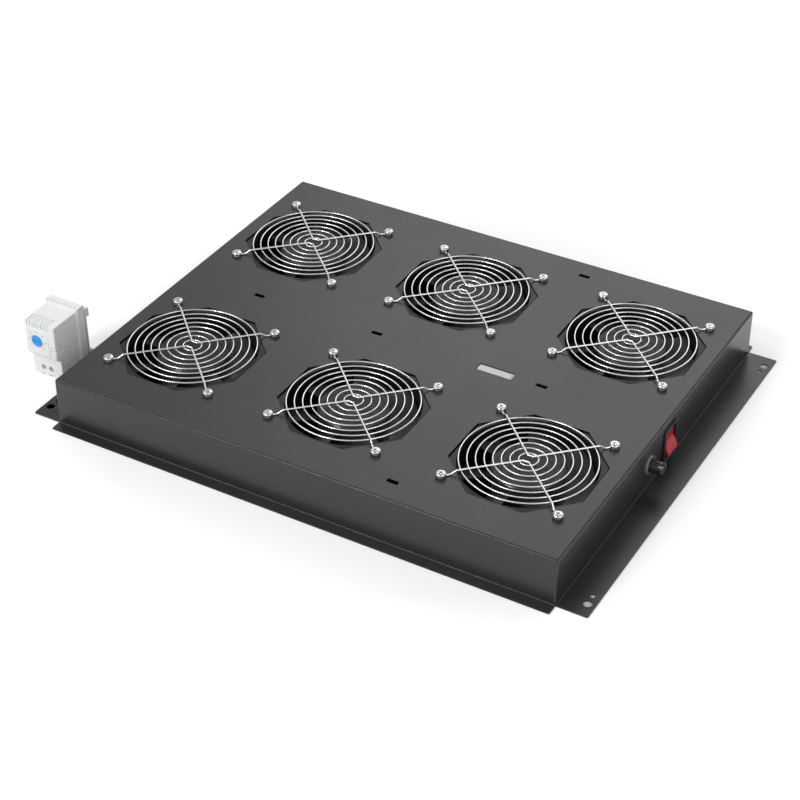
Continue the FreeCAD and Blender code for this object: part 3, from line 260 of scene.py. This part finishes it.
def tone_group():
    """Slow patches of tone over a piece, as handling and dust leave them."""
    name = "Slow tone"
    if name in bpy.data.node_groups:
        return bpy.data.node_groups[name]
    tree, inside, outside = group_tree(
        name,
        [("Patch size", 0.06), ("Low", 0.9), ("High", 1.1)],
        [("Tone", "NodeSocketFloat")],
    )
    scale = maths(tree, "DIVIDE", 1.0, inside.outputs["Patch size"])
    patches = noise(tree, scale, 4.0, 0.6)
    spread = tree.nodes.new("ShaderNodeMapRange")
    spread.inputs["From Min"].default_value = 0.3
    spread.inputs["From Max"].default_value = 0.7
    tree.links.new(patches, spread.inputs["Value"])
    tree.links.new(inside.outputs["Low"], spread.inputs["To Min"])
    tree.links.new(inside.outputs["High"], spread.inputs["To Max"])
    tree.links.new(spread.outputs["Result"], outside.inputs["Tone"])
    return tree


# ---- materials ----------------------------------------------------------------------------------
def new_material(name):
    """Material with a lone Principled shader."""
    material = bpy.data.materials.new(name)
    material.use_nodes = True
    tree = material.node_tree
    tree.nodes.clear()
    output = tree.nodes.new("ShaderNodeOutputMaterial")
    shader = tree.nodes.new("ShaderNodeBsdfPrincipled")
    tree.links.new(shader.outputs["BSDF"], output.inputs["Surface"])
    return material, tree, shader


def placed_group(tree, group, **values):
    """Group node with its inputs set; an underscore in a name stands for a space."""
    node = tree.nodes.new("ShaderNodeGroup")
    node.node_tree = group
    for label, value in values.items():
        node.inputs[label.replace("_", " ")].default_value = value
    return node


def varied_colour(tree, shader, colour, low, high, factor):
    """Base Color between a darker and a lighter shade of a colour, by a factor socket."""
    mix = tree.nodes.new("ShaderNodeMix")
    mix.data_type = "RGBA"
    mix.inputs["A"].default_value = [min(1, c * low) for c in colour] + [1]
    mix.inputs["B"].default_value = [min(1, c * high) for c in colour] + [1]
    tree.links.new(factor, mix.inputs["Factor"])
    tree.links.new(mix.outputs["Result"], shader.inputs["Base Color"])


def varied_roughness(tree, shader, low, high, factor):
    """Roughness between two values, by a factor socket."""
    spread = tree.nodes.new("ShaderNodeMapRange")
    spread.inputs["To Min"].default_value = low
    spread.inputs["To Max"].default_value = high
    tree.links.new(factor, spread.inputs["Value"])
    tree.links.new(spread.outputs["Result"], shader.inputs["Roughness"])


def bumped(tree, shader, height, distance, strength):
    """Bump from a height socket."""
    bump = tree.nodes.new("ShaderNodeBump")
    bump.inputs["Distance"].default_value = distance
    bump.inputs["Strength"].default_value = strength
    tree.links.new(height, bump.inputs["Height"])
    tree.links.new(bump.outputs["Normal"], shader.inputs["Normal"])


def recoloured(tree, shader, mask, colour):
    """Another Base Color where a mask is 1."""
    mix = tree.nodes.new("ShaderNodeMix")
    mix.data_type = "RGBA"
    tree.links.new(mask, mix.inputs["Factor"])
    tree.links.new(shader.inputs["Base Color"].links[0].from_socket, mix.inputs["A"])
    mix.inputs["B"].default_value = (*colour, 1)
    tree.links.new(mix.outputs["Result"], shader.inputs["Base Color"])


def grained(name, colour, cell, rough, tint, bump, patch):
    """Opaque material with fine grain, a speckled colour and patches of gloss.

    cell is the width of a grain and patch that of a patch of gloss. rough is the least and most
    roughness, tint the factors of the colour's dark and light specks, and bump the height and
    strength of the grain.
    """
    material, tree, shader = new_material(name)
    grain = placed_group(tree, grain_group(), Cell_size=cell)
    tone = placed_group(tree, tone_group(), Patch_size=patch, Low=0.0, High=1.0)
    varied_colour(tree, shader, colour, tint[0], tint[1], grain.outputs["Speckle"])
    varied_roughness(tree, shader, rough[0], rough[1], tone.outputs["Tone"])
    bumped(tree, shader, grain.outputs["Height"], bump[0], bump[1])
    return material, tree, shader


def finish(name, colour, cell, rough, tint, bump, patch, **inputs):
    """Grained material with further shader inputs set; an underscore stands for a space."""
    material, _, shader = grained(name, colour, cell, rough, tint, bump, patch)
    for label, value in inputs.items():
        shader.inputs[label.replace("_", " ")].default_value = value
    return material


def coat_material():
    """Black powder coat with a fine orange-peel texture."""
    return finish(
        "powder_coat", finishes().coat, cell=sizes().grain, rough=(0.25, 0.31), tint=(0.8, 1.25),
        bump=(0.00022, 0.6), patch=0.09, Specular_IOR_Level=0.5,
    )


def wire_material():
    """Bright plated wire."""
    return finish(
        "plated_wire", finishes().wire, cell=0.004, rough=(0.22, 0.28), tint=(0.97, 1.03),
        bump=(0.000002, 0.05), patch=0.01, Metallic=1.0,
    )


def zinc_material():
    """Bright zinc of the screws and nuts."""
    return finish(
        "bright_zinc", finishes().zinc, cell=0.0012, rough=(0.20, 0.28), tint=(0.95, 1.04),
        bump=(0.000005, 0.1), patch=0.004, Metallic=1.0,
    )


def casting_material():
    """Black paint on the fans' cast frames."""
    return finish(
        "painted_casting", finishes().casting, cell=0.0007, rough=(0.34, 0.42), tint=(0.85, 1.2),
        bump=(0.00006, 0.3), patch=0.03, Specular_IOR_Level=0.36,
    )


def rotor_material():
    """Dark moulded plastic of the blades, duller on the flat end of the hub."""
    material, tree, shader = grained(
        "rotor_plastic", finishes().rotor, cell=0.0005, rough=(0.20, 0.28), tint=(0.9, 1.12),
        bump=(0.00002, 0.2), patch=0.02,
    )
    hub_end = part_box("fan_rotor_1")[1][2] - SHARP
    dull = maths(tree, "GREATER_THAN", split_coordinates(tree)["Z"], hub_end)
    gloss = maths(tree, "MULTIPLY", maths(tree, "SUBTRACT", 1.0, dull),
                  BLADE_GLOSS - HUB_END_GLOSS)
    tree.links.new(maths(tree, "ADD", gloss, HUB_END_GLOSS), shader.inputs["Specular IOR Level"])
    return material


def bronze_material():
    """Sintered bronze of the bearings."""
    return finish(
        "sintered_bronze", (0.35, 0.20, 0.09), cell=0.0004, rough=(0.35, 0.5), tint=(0.8, 1.2),
        bump=(0.00003, 0.4), patch=0.004, Metallic=1.0,
    )


def stator_material():
    """Stacked laminations: fine rings up the axis."""
    material, tree, shader = new_material("lamination_steel")
    wave = tree.nodes.new("ShaderNodeTexWave")
    wave.bands_direction = "Z"
    wave.inputs["Scale"].default_value = LAMINATIONS
    wave.inputs["Distortion"].default_value = 0.4
    tree.links.new(coordinates(tree), wave.inputs["Vector"])
    varied_colour(tree, shader, (0.16, 0.16, 0.17), 0.6, 1.3, wave.outputs["Fac"])
    varied_roughness(tree, shader, 0.35, 0.55, wave.outputs["Fac"])
    bumped(tree, shader, wave.outputs["Fac"], 0.0001, 0.5)
    shader.inputs["Metallic"].default_value = 1.0
    return material


def nylon_material():
    """Natural nylon, slightly waxy."""
    return finish(
        "natural_nylon", finishes().nylon, cell=0.0008, rough=(0.38, 0.5), tint=(0.96, 1.03),
        bump=(0.00003, 0.2), patch=0.01, Subsurface_Weight=0.15,
        Subsurface_Radius=(0.002, 0.002, 0.0018),
    )


def rocker_material():
    """Red plastic, moulded smooth."""
    return finish(
        "rocker_plastic", finishes().rocker, cell=0.0012, rough=(0.24, 0.32), tint=(0.9, 1.08),
        bump=(0.00001, 0.1), patch=0.006, Specular_IOR_Level=0.25,
    )


def moulding_material():
    """Black moulded plastic of the switch body and of the fuse holder's hidden parts."""
    return finish(
        "black_moulding", finishes().moulding, cell=0.0005, rough=(0.26, 0.36), tint=(0.85, 1.2),
        bump=(0.00003, 0.25), patch=0.008,
    )


def knob_material():
    """Glossy black of the fuse holder and its cap, with a painted highlight: a light grey ring
    round the flange's rim.
    """
    material, tree, shader = grained(
        "knob_plastic", (0.03, 0.03, 0.031), cell=0.0005, rough=(0.2, 0.3), tint=(0.7, 1.4),
        bump=(0.00004, 0.3), patch=0.003,
    )
    shader.inputs["Specular IOR Level"].default_value = 1.0
    low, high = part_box("fuse_holder")
    place = split_coordinates(tree)
    spans = []
    for axis, name in ((1, "Y"), (2, "Z")):
        offset = maths(tree, "SUBTRACT", place[name], (low[axis] + high[axis]) / 2)
        spans.append(maths(tree, "MULTIPLY", offset, offset))
    radius = maths(tree, "SQRT", maths(tree, "ADD", *spans))
    # painted highlight: the flange's outer rim is coloured light grey
    edge = maths(tree, "GREATER_THAN", radius, RIM_HIGHLIGHT_START * (high[1] - low[1]) / 2)
    recoloured(tree, shader, edge, RIM_HIGHLIGHT_COLOUR)
    return material


def contact_material():
    """Tinned contact blades."""
    return finish(
        "tinned_contact", (0.62, 0.58, 0.48), cell=0.0006, rough=(0.22, 0.36), tint=(0.9, 1.08),
        bump=(0.00002, 0.2), patch=0.004, Metallic=1.0,
    )


def fuse_material():
    """Glass tube of the fuse between its plated ends."""
    material, tree, shader = new_material("fuse_glass")
    tone = placed_group(tree, tone_group(), Patch_size=0.004, Low=0.0, High=1.0)
    varied_colour(tree, shader, (0.82, 0.86, 0.86), 0.94, 1.06, tone.outputs["Tone"])
    varied_roughness(tree, shader, 0.03, 0.08, tone.outputs["Tone"])
    shader.inputs["Transmission Weight"].default_value = 0.6
    return material


def rubber_material():
    """Dull black rubber."""
    return finish(
        "grommet_rubber", (0.016, 0.016, 0.016), cell=0.0006, rough=(0.6, 0.75),
        tint=(0.85, 1.2), bump=(0.00005, 0.3), patch=0.006,
    )


def thermostat_material():
    """Light grey moulded plastic with a fine spark-eroded texture."""
    material, tree, shader = grained(
        "thermostat_plastic", finishes().thermostat, cell=0.0006, rough=(0.42, 0.52),
        tint=(0.975, 1.02), bump=(0.00003, 0.25), patch=0.02,
    )
    depth = split_coordinates(tree)["Y"]
    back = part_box("thermostat_housing")[1][1]
    seam = maths(tree, "MULTIPLY",
                 maths(tree, "GREATER_THAN", depth, back + SHARP),
                 maths(tree, "LESS_THAN", depth, back + SEAM - SHARP))
    recoloured(tree, shader, seam, SEAM_COLOUR)
    return material


def recessed_screw_material():
    """Dull nickel of the terminal screws down in the thermostat."""
    return finish(
        "dull_nickel", (0.42, 0.42, 0.42), cell=0.0005, rough=(0.45, 0.6), tint=(0.8, 1.15),
        bump=(0.00002, 0.2), patch=0.003,
    )


def dial_material():
    """Blue moulded plastic."""
    return finish(
        "dial_plastic", finishes().dial, cell=0.0006, rough=(0.32, 0.42), tint=(0.93, 1.06),
        bump=(0.00002, 0.2), patch=0.006,
    )


def print_material():
    """Thin grey print."""
    return finish(
        "grey_print", (0.10, 0.10, 0.11), cell=0.0003, rough=(0.45, 0.6), tint=(0.8, 1.3),
        bump=(0.000005, 0.1), patch=0.002,
    )


def dress(node, material):
    """Give a CAD node its finish."""
    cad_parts[node].data.materials.clear()
    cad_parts[node].data.materials.append(material)


# ---- new pieces ---------------------------------------------------------------------------------
def piece_from(mesh, name, body, material, smooth_angle=None):
    """Turn a bmesh into a piece that rides on a body, with its place in its mesh."""
    data = bpy.data.meshes.new(name)
    bmesh.ops.recalc_face_normals(mesh, faces=mesh.faces)
    mesh.to_mesh(data)
    mesh.free()
    data.materials.append(material)
    piece = bpy.data.objects.new(name, data)
    bpy.context.collection.objects.link(piece)
    if smooth_angle is not None:
        data.shade_smooth()
        data.set_sharp_from_angle(angle=math.radians(smooth_angle))
    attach(piece, body)
    return piece


def scratch_object(name, mesh):
    """Object for a modifier to work on; it is removed after use."""
    data = bpy.data.meshes.new(name)
    mesh.to_mesh(data)
    mesh.free()
    item = bpy.data.objects.new(name, data)
    bpy.context.collection.objects.link(item)
    return item


# ---- operators ----------------------------------------------------------------------------------
class FANTRAY_OT_stage(bpy.types.Operator):
    """Floor, lights and camera"""

    bl_idname = "fantray.stage"
    bl_label = "Stage"

    def execute(self, context):
        self.camera(context)
        self.floor()
        self.world(context)
        self.lamps()
        return {"FINISHED"}

    def camera(self, context):
        """Camera from the settings."""
        data = bpy.data.cameras.new("camera")
        data.lens = sizes().lens
        data.sensor_width = 36.0
        data.clip_end = 50.0
        camera = bpy.data.objects.new("camera", data)
        camera.location = sizes().camera_place
        camera.rotation_euler = sizes().camera_turn
        bpy.context.collection.objects.link(camera)
        context.scene.camera = camera
        context.scene.view_settings.view_transform = "Standard"

    def floor(self):
        """Flat floor at z = 0."""
        mesh = bmesh.new()
        bmesh.ops.create_grid(mesh, x_segments=1, y_segments=1, size=sizes().floor / 2)
        data = bpy.data.meshes.new("floor")
        mesh.to_mesh(data)
        mesh.free()
        data.materials.append(self.floor_material())
        floor = bpy.data.objects.new("floor", data)
        bpy.context.collection.objects.link(floor)

    def floor_material(self):
        """Matt white that adds a little light of its own for the camera and in reflections, with
        painted shade: black under the tray, grey under the flanges on the switch's half, and a
        dimmer glow near the tray as a painted contact shadow.
        """
        material = bpy.data.materials.new("floor")
        material.use_nodes = True
        tree = material.node_tree
        tree.nodes.clear()
        output = tree.nodes.new("ShaderNodeOutputMaterial")
        matt = tree.nodes.new("ShaderNodeBsdfDiffuse")
        glow = tree.nodes.new("ShaderNodeEmission")
        total = tree.nodes.new("ShaderNodeAddShader")
        # Painted shade: the floor is black inside the walls and under the flanges on the left
        # half, and grey under the flanges on the switch's half
        beyond_walls = self.beyond(tree, *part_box("tray_top")[1][:2])
        beyond_ends = self.beyond(tree, *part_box("tray_switch_end")[1][:2])
        beyond_sides = self.beyond(tree, *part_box("tray_back_wall")[1][:2])
        open_floor = maths(tree, "MINIMUM", beyond_ends, beyond_sides)
        near_switch = maths(tree, "GREATER_THAN", split_coordinates(tree)["X"], 0.0)
        painted_flange_shade = maths(tree, "MULTIPLY", maths(tree, "MULTIPLY", beyond_walls, near_switch),
                             SHADED_WHITE_UNDER_FLANGE)
        shade = maths(tree, "MAXIMUM", painted_flange_shade,
                      maths(tree, "MULTIPLY", open_floor, OPEN_FLOOR))
        tree.links.new(shade, matt.inputs["Color"])
        distance = tree.nodes.new("ShaderNodeVectorMath")
        distance.operation = "LENGTH"
        tree.links.new(coordinates(tree), distance.inputs[0])
        # Painted contact shadow: the glow is weaker near the tray and rises further out
        rise = tree.nodes.new("ShaderNodeMapRange")
        rise.inputs["From Min"].default_value = GLOW_NEAR
        rise.inputs["From Max"].default_value = GLOW_FAR
        rise.inputs["To Min"].default_value = SHADOWED_GLOW
        rise.inputs["To Max"].default_value = MOST_GLOW
        tree.links.new(distance.outputs["Value"], rise.inputs["Value"])
        # Painted shade: no glow under the tray and its flanges
        strength = maths(tree, "MULTIPLY", self.seen(tree, rise.outputs["Result"]), open_floor)
        tree.links.new(strength, glow.inputs["Strength"])
        tree.links.new(matt.outputs["BSDF"], total.inputs[0])
        tree.links.new(glow.outputs["Emission"], total.inputs[1])
        tree.links.new(total.outputs["Shader"], output.inputs["Surface"])
        return material

    def beyond(self, tree, reach_x, reach_y):
        """1 outside a rectangle about the origin and 0 inside it."""
        place = split_coordinates(tree)
        outside = []
        for name, reach in (("X", reach_x), ("Y", reach_y)):
            distance = maths(tree, "ABSOLUTE", place[name])
            outside.append(maths(tree, "GREATER_THAN", distance, reach))
        return maths(tree, "MAXIMUM", *outside)

    def seen(self, tree, amount):
        """A strength that counts only for camera, glossy and transmission rays."""
        path = tree.nodes.new("ShaderNodeLightPath")
        either = maths(tree, "MAXIMUM", path.outputs["Is Camera Ray"],
                       path.outputs["Is Glossy Ray"])
        either = maths(tree, "MAXIMUM", either, path.outputs["Is Transmission Ray"])
        return maths(tree, "MULTIPLY", either, amount)

    def world(self, context):
        """White for the camera, and a dimmed room for every other ray."""
        world = bpy.data.worlds.new("studio")
        world.use_nodes = True
        tree = world.node_tree
        tree.nodes.clear()
        output = tree.nodes.new("ShaderNodeOutputWorld")
        background = tree.nodes.new("ShaderNodeBackground")
        background.inputs["Color"].default_value = (1, 1, 1, 1)
        path = tree.nodes.new("ShaderNodeLightPath")
        room = maths(tree, "MULTIPLY", self.room_light(tree),
                     maths(tree, "SUBTRACT", 1.0, path.outputs["Is Camera Ray"]))
        strength = maths(tree, "ADD", room, path.outputs["Is Camera Ray"])
        tree.links.new(strength, background.inputs["Strength"])
        tree.links.new(background.outputs["Background"], output.inputs["Surface"])
        context.scene.world = world

    def room_light(self, tree):
        """Brightness of the room by direction: dim overhead and to the sides."""
        direction = split_coordinates(tree, "Generated")
        total = ROOM_LIGHT
        for axis, side, start, slope in ROOM_DIMMING:
            toward = maths(tree, "MULTIPLY", direction[axis], side)
            past = maths(tree, "MAXIMUM", maths(tree, "SUBTRACT", toward, start), 0.0)
            total = maths(tree, "SUBTRACT", total, maths(tree, "MULTIPLY", past, slope))
        return maths(tree, "MAXIMUM", total, LEAST_ROOM_LIGHT)

    def lamps(self):
        """Softboxes that face the origin."""
        for name, place, size, power in SOFTBOXES:
            data = bpy.data.lights.new(name, "AREA")
            data.shape = "RECTANGLE"
            data.size, data.size_y = size
            data.energy = power
            lamp = bpy.data.objects.new(name, data)
            lamp.location = place
            lamp.rotation_euler = (-Vector(place)).to_track_quat("-Z", "Y").to_euler()
            bpy.context.collection.objects.link(lamp)


class FANTRAY_OT_sheet(bpy.types.Operator):
    """Powder-coated tray and its grommet"""

    bl_idname = "fantray.sheet"
    bl_label = "Tray"

    def execute(self, context):
        coat = coat_material()
        for node in TRAY_NODES:
            dress(node, coat)
        dress("cable_grommet", rubber_material())
        return {"FINISHED"}


class FANTRAY_OT_fans(bpy.types.Operator):
    """Frames, rotors and motors of the fans"""

    bl_idname = "fantray.fans"
    bl_label = "Fans"

    def execute(self, context):
        casting = casting_material()
        materials = {
            "fan_frame": casting,
            "motor_mount": casting,
            "fan_rotor": rotor_material(),
            "fan_bush": bronze_material(),
            "fan_stator": stator_material(),
        }
        for number in FANS:
            for node, material in materials.items():
                dress(f"{node}_{number}", material)
        return {"FINISHED"}


class FANTRAY_OT_guards(bpy.types.Operator):
    """Plated wire guards with their screws and nuts"""

    bl_idname = "fantray.guards"
    bl_label = "Finger guards"

    def execute(self, context):
        wire = wire_material()
        zinc = zinc_material()
        for number in FANS:
            dress(f"finger_guard_{number}", wire)
        dress("guard_nuts", zinc)
        self.screws(zinc)
        return {"FINISHED"}

    def screws(self, zinc):
        """All guard screws, each with its recess turned its own way."""
        low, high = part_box("guard_screws")
        one = self.one_screw(high[2] - low[2])
        screws = bmesh.new()
        turns = random.Random(TURNS_SEED)
        for number in FANS:
            box_low, box_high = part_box(f"fan_frame_{number}")
            for way_x in (-1, 1):
                for way_y in (-1, 1):
                    copy = one.copy()
                    place = Vector((
                        (box_low[0] + box_high[0] + way_x * SCREW_PITCH) / 2,
                        (box_low[1] + box_high[1] + way_y * SCREW_PITCH) / 2, low[2],
                    ))
                    turn = Matrix.Rotation(turns.uniform(0, math.pi / 2), 4, "Z")
                    copy.transform(Matrix.Translation(place) @ turn)
                    screws.from_mesh(copy)
                    bpy.data.meshes.remove(copy)
        bpy.data.meshes.remove(one)
        piece = piece_from(screws, "guard_pan_head_screws", "tray", zinc,
                           SMOOTH_UNDER)
        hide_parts("guard_screws")

    def one_screw(self, length):
        """Pan head with a tapered cross recess over a threaded shank that stands on z = 0."""
        head, radius = sizes().screw_head, SCREW_SHANK_RADIUS
        seat = length - head
        last_fan_low, last_fan_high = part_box(f"fan_frame_{FANS[-1]}")
        last_axis = (last_fan_low[0] + last_fan_high[0] + SCREW_PITCH) / 2
        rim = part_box("guard_screws")[1][0] - last_axis
        outline = [(out * rim, seat + up * head) for out, up in PAN_HEAD] + [(radius, seat)]
        for turn in range(int(seat / THREAD_PITCH)):
            z = seat - turn * THREAD_PITCH
            outline += [(THREAD_ROOT * radius, z - THREAD_PITCH / 2), (radius, z - THREAD_PITCH)]
        outline += [(SCREW_POINT * radius, 0), (0, 0)]
        mesh = bmesh.new()
        verts = [mesh.verts.new((x, 0, z)) for x, z in outline]
        edges = [mesh.edges.new(pair) for pair in zip(verts, verts[1:])]
        bmesh.ops.spin(mesh, geom=verts + edges, cent=(0, 0, 0), axis=(0, 0, 1),
                       angle=math.tau, steps=ROUND_STEPS, use_merge=True)
        bmesh.ops.remove_doubles(mesh, verts=mesh.verts, dist=1e-6)
        bmesh.ops.recalc_face_normals(mesh, faces=mesh.faces)
        return self.recessed(mesh, length)

    def recessed(self, mesh, length):
        """Cut the cross recess with two tapered bars."""
        span = sizes().recess
        screw = scratch_object("screw", mesh)
        bars = []
        for turn in (0, math.pi / 2):
            bar = bmesh.new()
            bmesh.ops.create_cone(bar, cap_ends=True, segments=4,
                                  radius1=RECESS_BOTTOM * span, radius2=RECESS_TOP * span,
                                  depth=2 * RECESS_DEPTH)
            bmesh.ops.rotate(bar, verts=bar.verts, cent=(0, 0, 0),
                             matrix=Matrix.Rotation(math.pi / 4, 3, "Z"))
            bmesh.ops.scale(bar, verts=bar.verts, vec=(1, RECESS_BAR, 1))
            bmesh.ops.rotate(bar, verts=bar.verts, cent=(0, 0, 0),
                             matrix=Matrix.Rotation(turn, 3, "Z"))
            bmesh.ops.translate(bar, verts=bar.verts, vec=(0, 0, length))
            bars.append(scratch_object("bar", bar))
            cut = screw.modifiers.new("recess", "BOOLEAN")
            cut.operation = "DIFFERENCE"
            cut.solver = "EXACT"
            cut.object = bars[-1]
        graph = bpy.context.evaluated_depsgraph_get()
        result = bpy.data.meshes.new_from_object(screw.evaluated_get(graph))
        for scratch in [screw] + bars:
            bpy.data.objects.remove(scratch)
        return result


class FANTRAY_OT_controls(bpy.types.Operator):
    """Switch, fuse holder and terminal block"""

    bl_idname = "fantray.controls"
    bl_label = "Switch, fuse and terminals"

    def execute(self, context):
        black = moulding_material()
        for node in ("switch_housing", "fuse_holder_nut", "fuse_carrier"):
            dress(node, black)
        knob = knob_material()
        dress("fuse_holder", knob)
        dress("fuse_cap", knob)
        dress("switch_rocker", rocker_material())
        dress("switch_terminals", contact_material())
        dress("fuse_link", fuse_material())
        dress("terminal_block", nylon_material())
        dress("terminal_screws", zinc_material())
        return {"FINISHED"}


class FANTRAY_OT_thermostat(bpy.types.Operator):
    """Rail thermostat with its dial"""

    bl_idname = "fantray.thermostat"
    bl_label = "Thermostat"

    def execute(self, context):
        plastic = thermostat_material()
        dress("thermostat_housing", plastic)
        dress("thermostat_base", plastic)
        dress("thermostat_dial", dial_material())
        dress("thermostat_screws", recessed_screw_material())
        self.dial_scale()
        return {"FINISHED"}

    def dial_scale(self):
        """Ticks and numbers printed round the dial."""
        low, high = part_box("thermostat_dial")
        centre = Vector(((low[0] + high[0]) / 2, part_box("thermostat_housing")[0][1] + PANEL_BACK,
                         (low[2] + high[2]) / 2))
        scale = bmesh.new()
        for i in range(TICKS):
            angle = math.radians(SCALE_SWEEP * (i / (TICKS - 1) - 0.5))
            number, between = divmod(i, TICKS_PER_NUMBER)
            self.tick(scale, angle, TICK_LENGTH if between else LONG_TICK_LENGTH)
            if not between:
                self.number(scale, str(NUMBER_STEP * number), angle)
        upright = Matrix.Translation(centre) @ Matrix.Rotation(math.pi / 2, 4, "X")
        scale.transform(upright)
        piece_from(scale, "dial_scale", "tray", print_material())

    def tick(self, scale, angle, length):
        """Add one tick, that many radians clockwise of the top."""
        made = bmesh.ops.create_grid(scale, x_segments=1, y_segments=1, size=0.5)["verts"]
        bmesh.ops.scale(scale, verts=made, vec=(TICK_WIDTH, length, 1))
        bmesh.ops.translate(scale, verts=made, vec=(0, TICKS_RADIUS + length / 2, 0))
        bmesh.ops.rotate(scale, verts=made, cent=(0, 0, 0), matrix=Matrix.Rotation(-angle, 3, "Z"))

    def number(self, scale, words, angle):
        """Add one upright number outside the ticks."""
        curve = bpy.data.curves.new("number", "FONT")
        curve.body = words
        curve.size = NUMBER_SIZE
        curve.align_x = "CENTER"
        curve.align_y = "CENTER"
        text = bpy.data.objects.new("number", curve)
        bpy.context.collection.objects.link(text)
        graph = bpy.context.evaluated_depsgraph_get()
        mesh = bpy.data.meshes.new_from_object(text.evaluated_get(graph))
        mesh.transform(Matrix.Translation((NUMBERS_RADIUS * math.sin(angle),
                                           NUMBERS_RADIUS * math.cos(angle), 0)))
        scale.from_mesh(mesh)
        bpy.data.objects.remove(text)
        bpy.data.meshes.remove(mesh)


class FANTRAY_PT_panel(bpy.types.Panel):
    """Buttons and settings of the fan tray in the sidebar"""

    bl_idname = "FANTRAY_PT_panel"
    bl_label = "Fan Tray"
    bl_space_type = "VIEW_3D"
    bl_region_type = "UI"
    bl_category = "Fan Tray"

    def draw(self, context):
        for operator in OPERATORS:
            self.layout.operator(operator.bl_idname)
        for settings in (sizes(), finishes()):
            for name in settings.bl_rna.properties.keys():
                if name not in ("rna_type", "name"):
                    self.layout.prop(settings, name)


OPERATORS = (
    FANTRAY_OT_stage,
    FANTRAY_OT_sheet,
    FANTRAY_OT_fans,
    FANTRAY_OT_guards,
    FANTRAY_OT_controls,
    FANTRAY_OT_thermostat,
)
CLASSES = (FanTrayFinishes, FanTraySizes) + OPERATORS + (FANTRAY_PT_panel,)


def register():
    for cls in CLASSES:
        bpy.utils.register_class(cls)
    bpy.types.Scene.fan_tray_finishes = bpy.props.PointerProperty(type=FanTrayFinishes)
    bpy.types.Scene.fan_tray_sizes = bpy.props.PointerProperty(type=FanTraySizes)


def unregister():
    del bpy.types.Scene.fan_tray_sizes
    del bpy.types.Scene.fan_tray_finishes
    for cls in reversed(CLASSES):
        bpy.utils.unregister_class(cls)


def main():
    """Run every operator."""
    register()
    for operator in OPERATORS:
        group, name = operator.bl_idname.split(".")
        getattr(getattr(bpy.ops, group), name)()


if __name__ == "__main__":
    main()
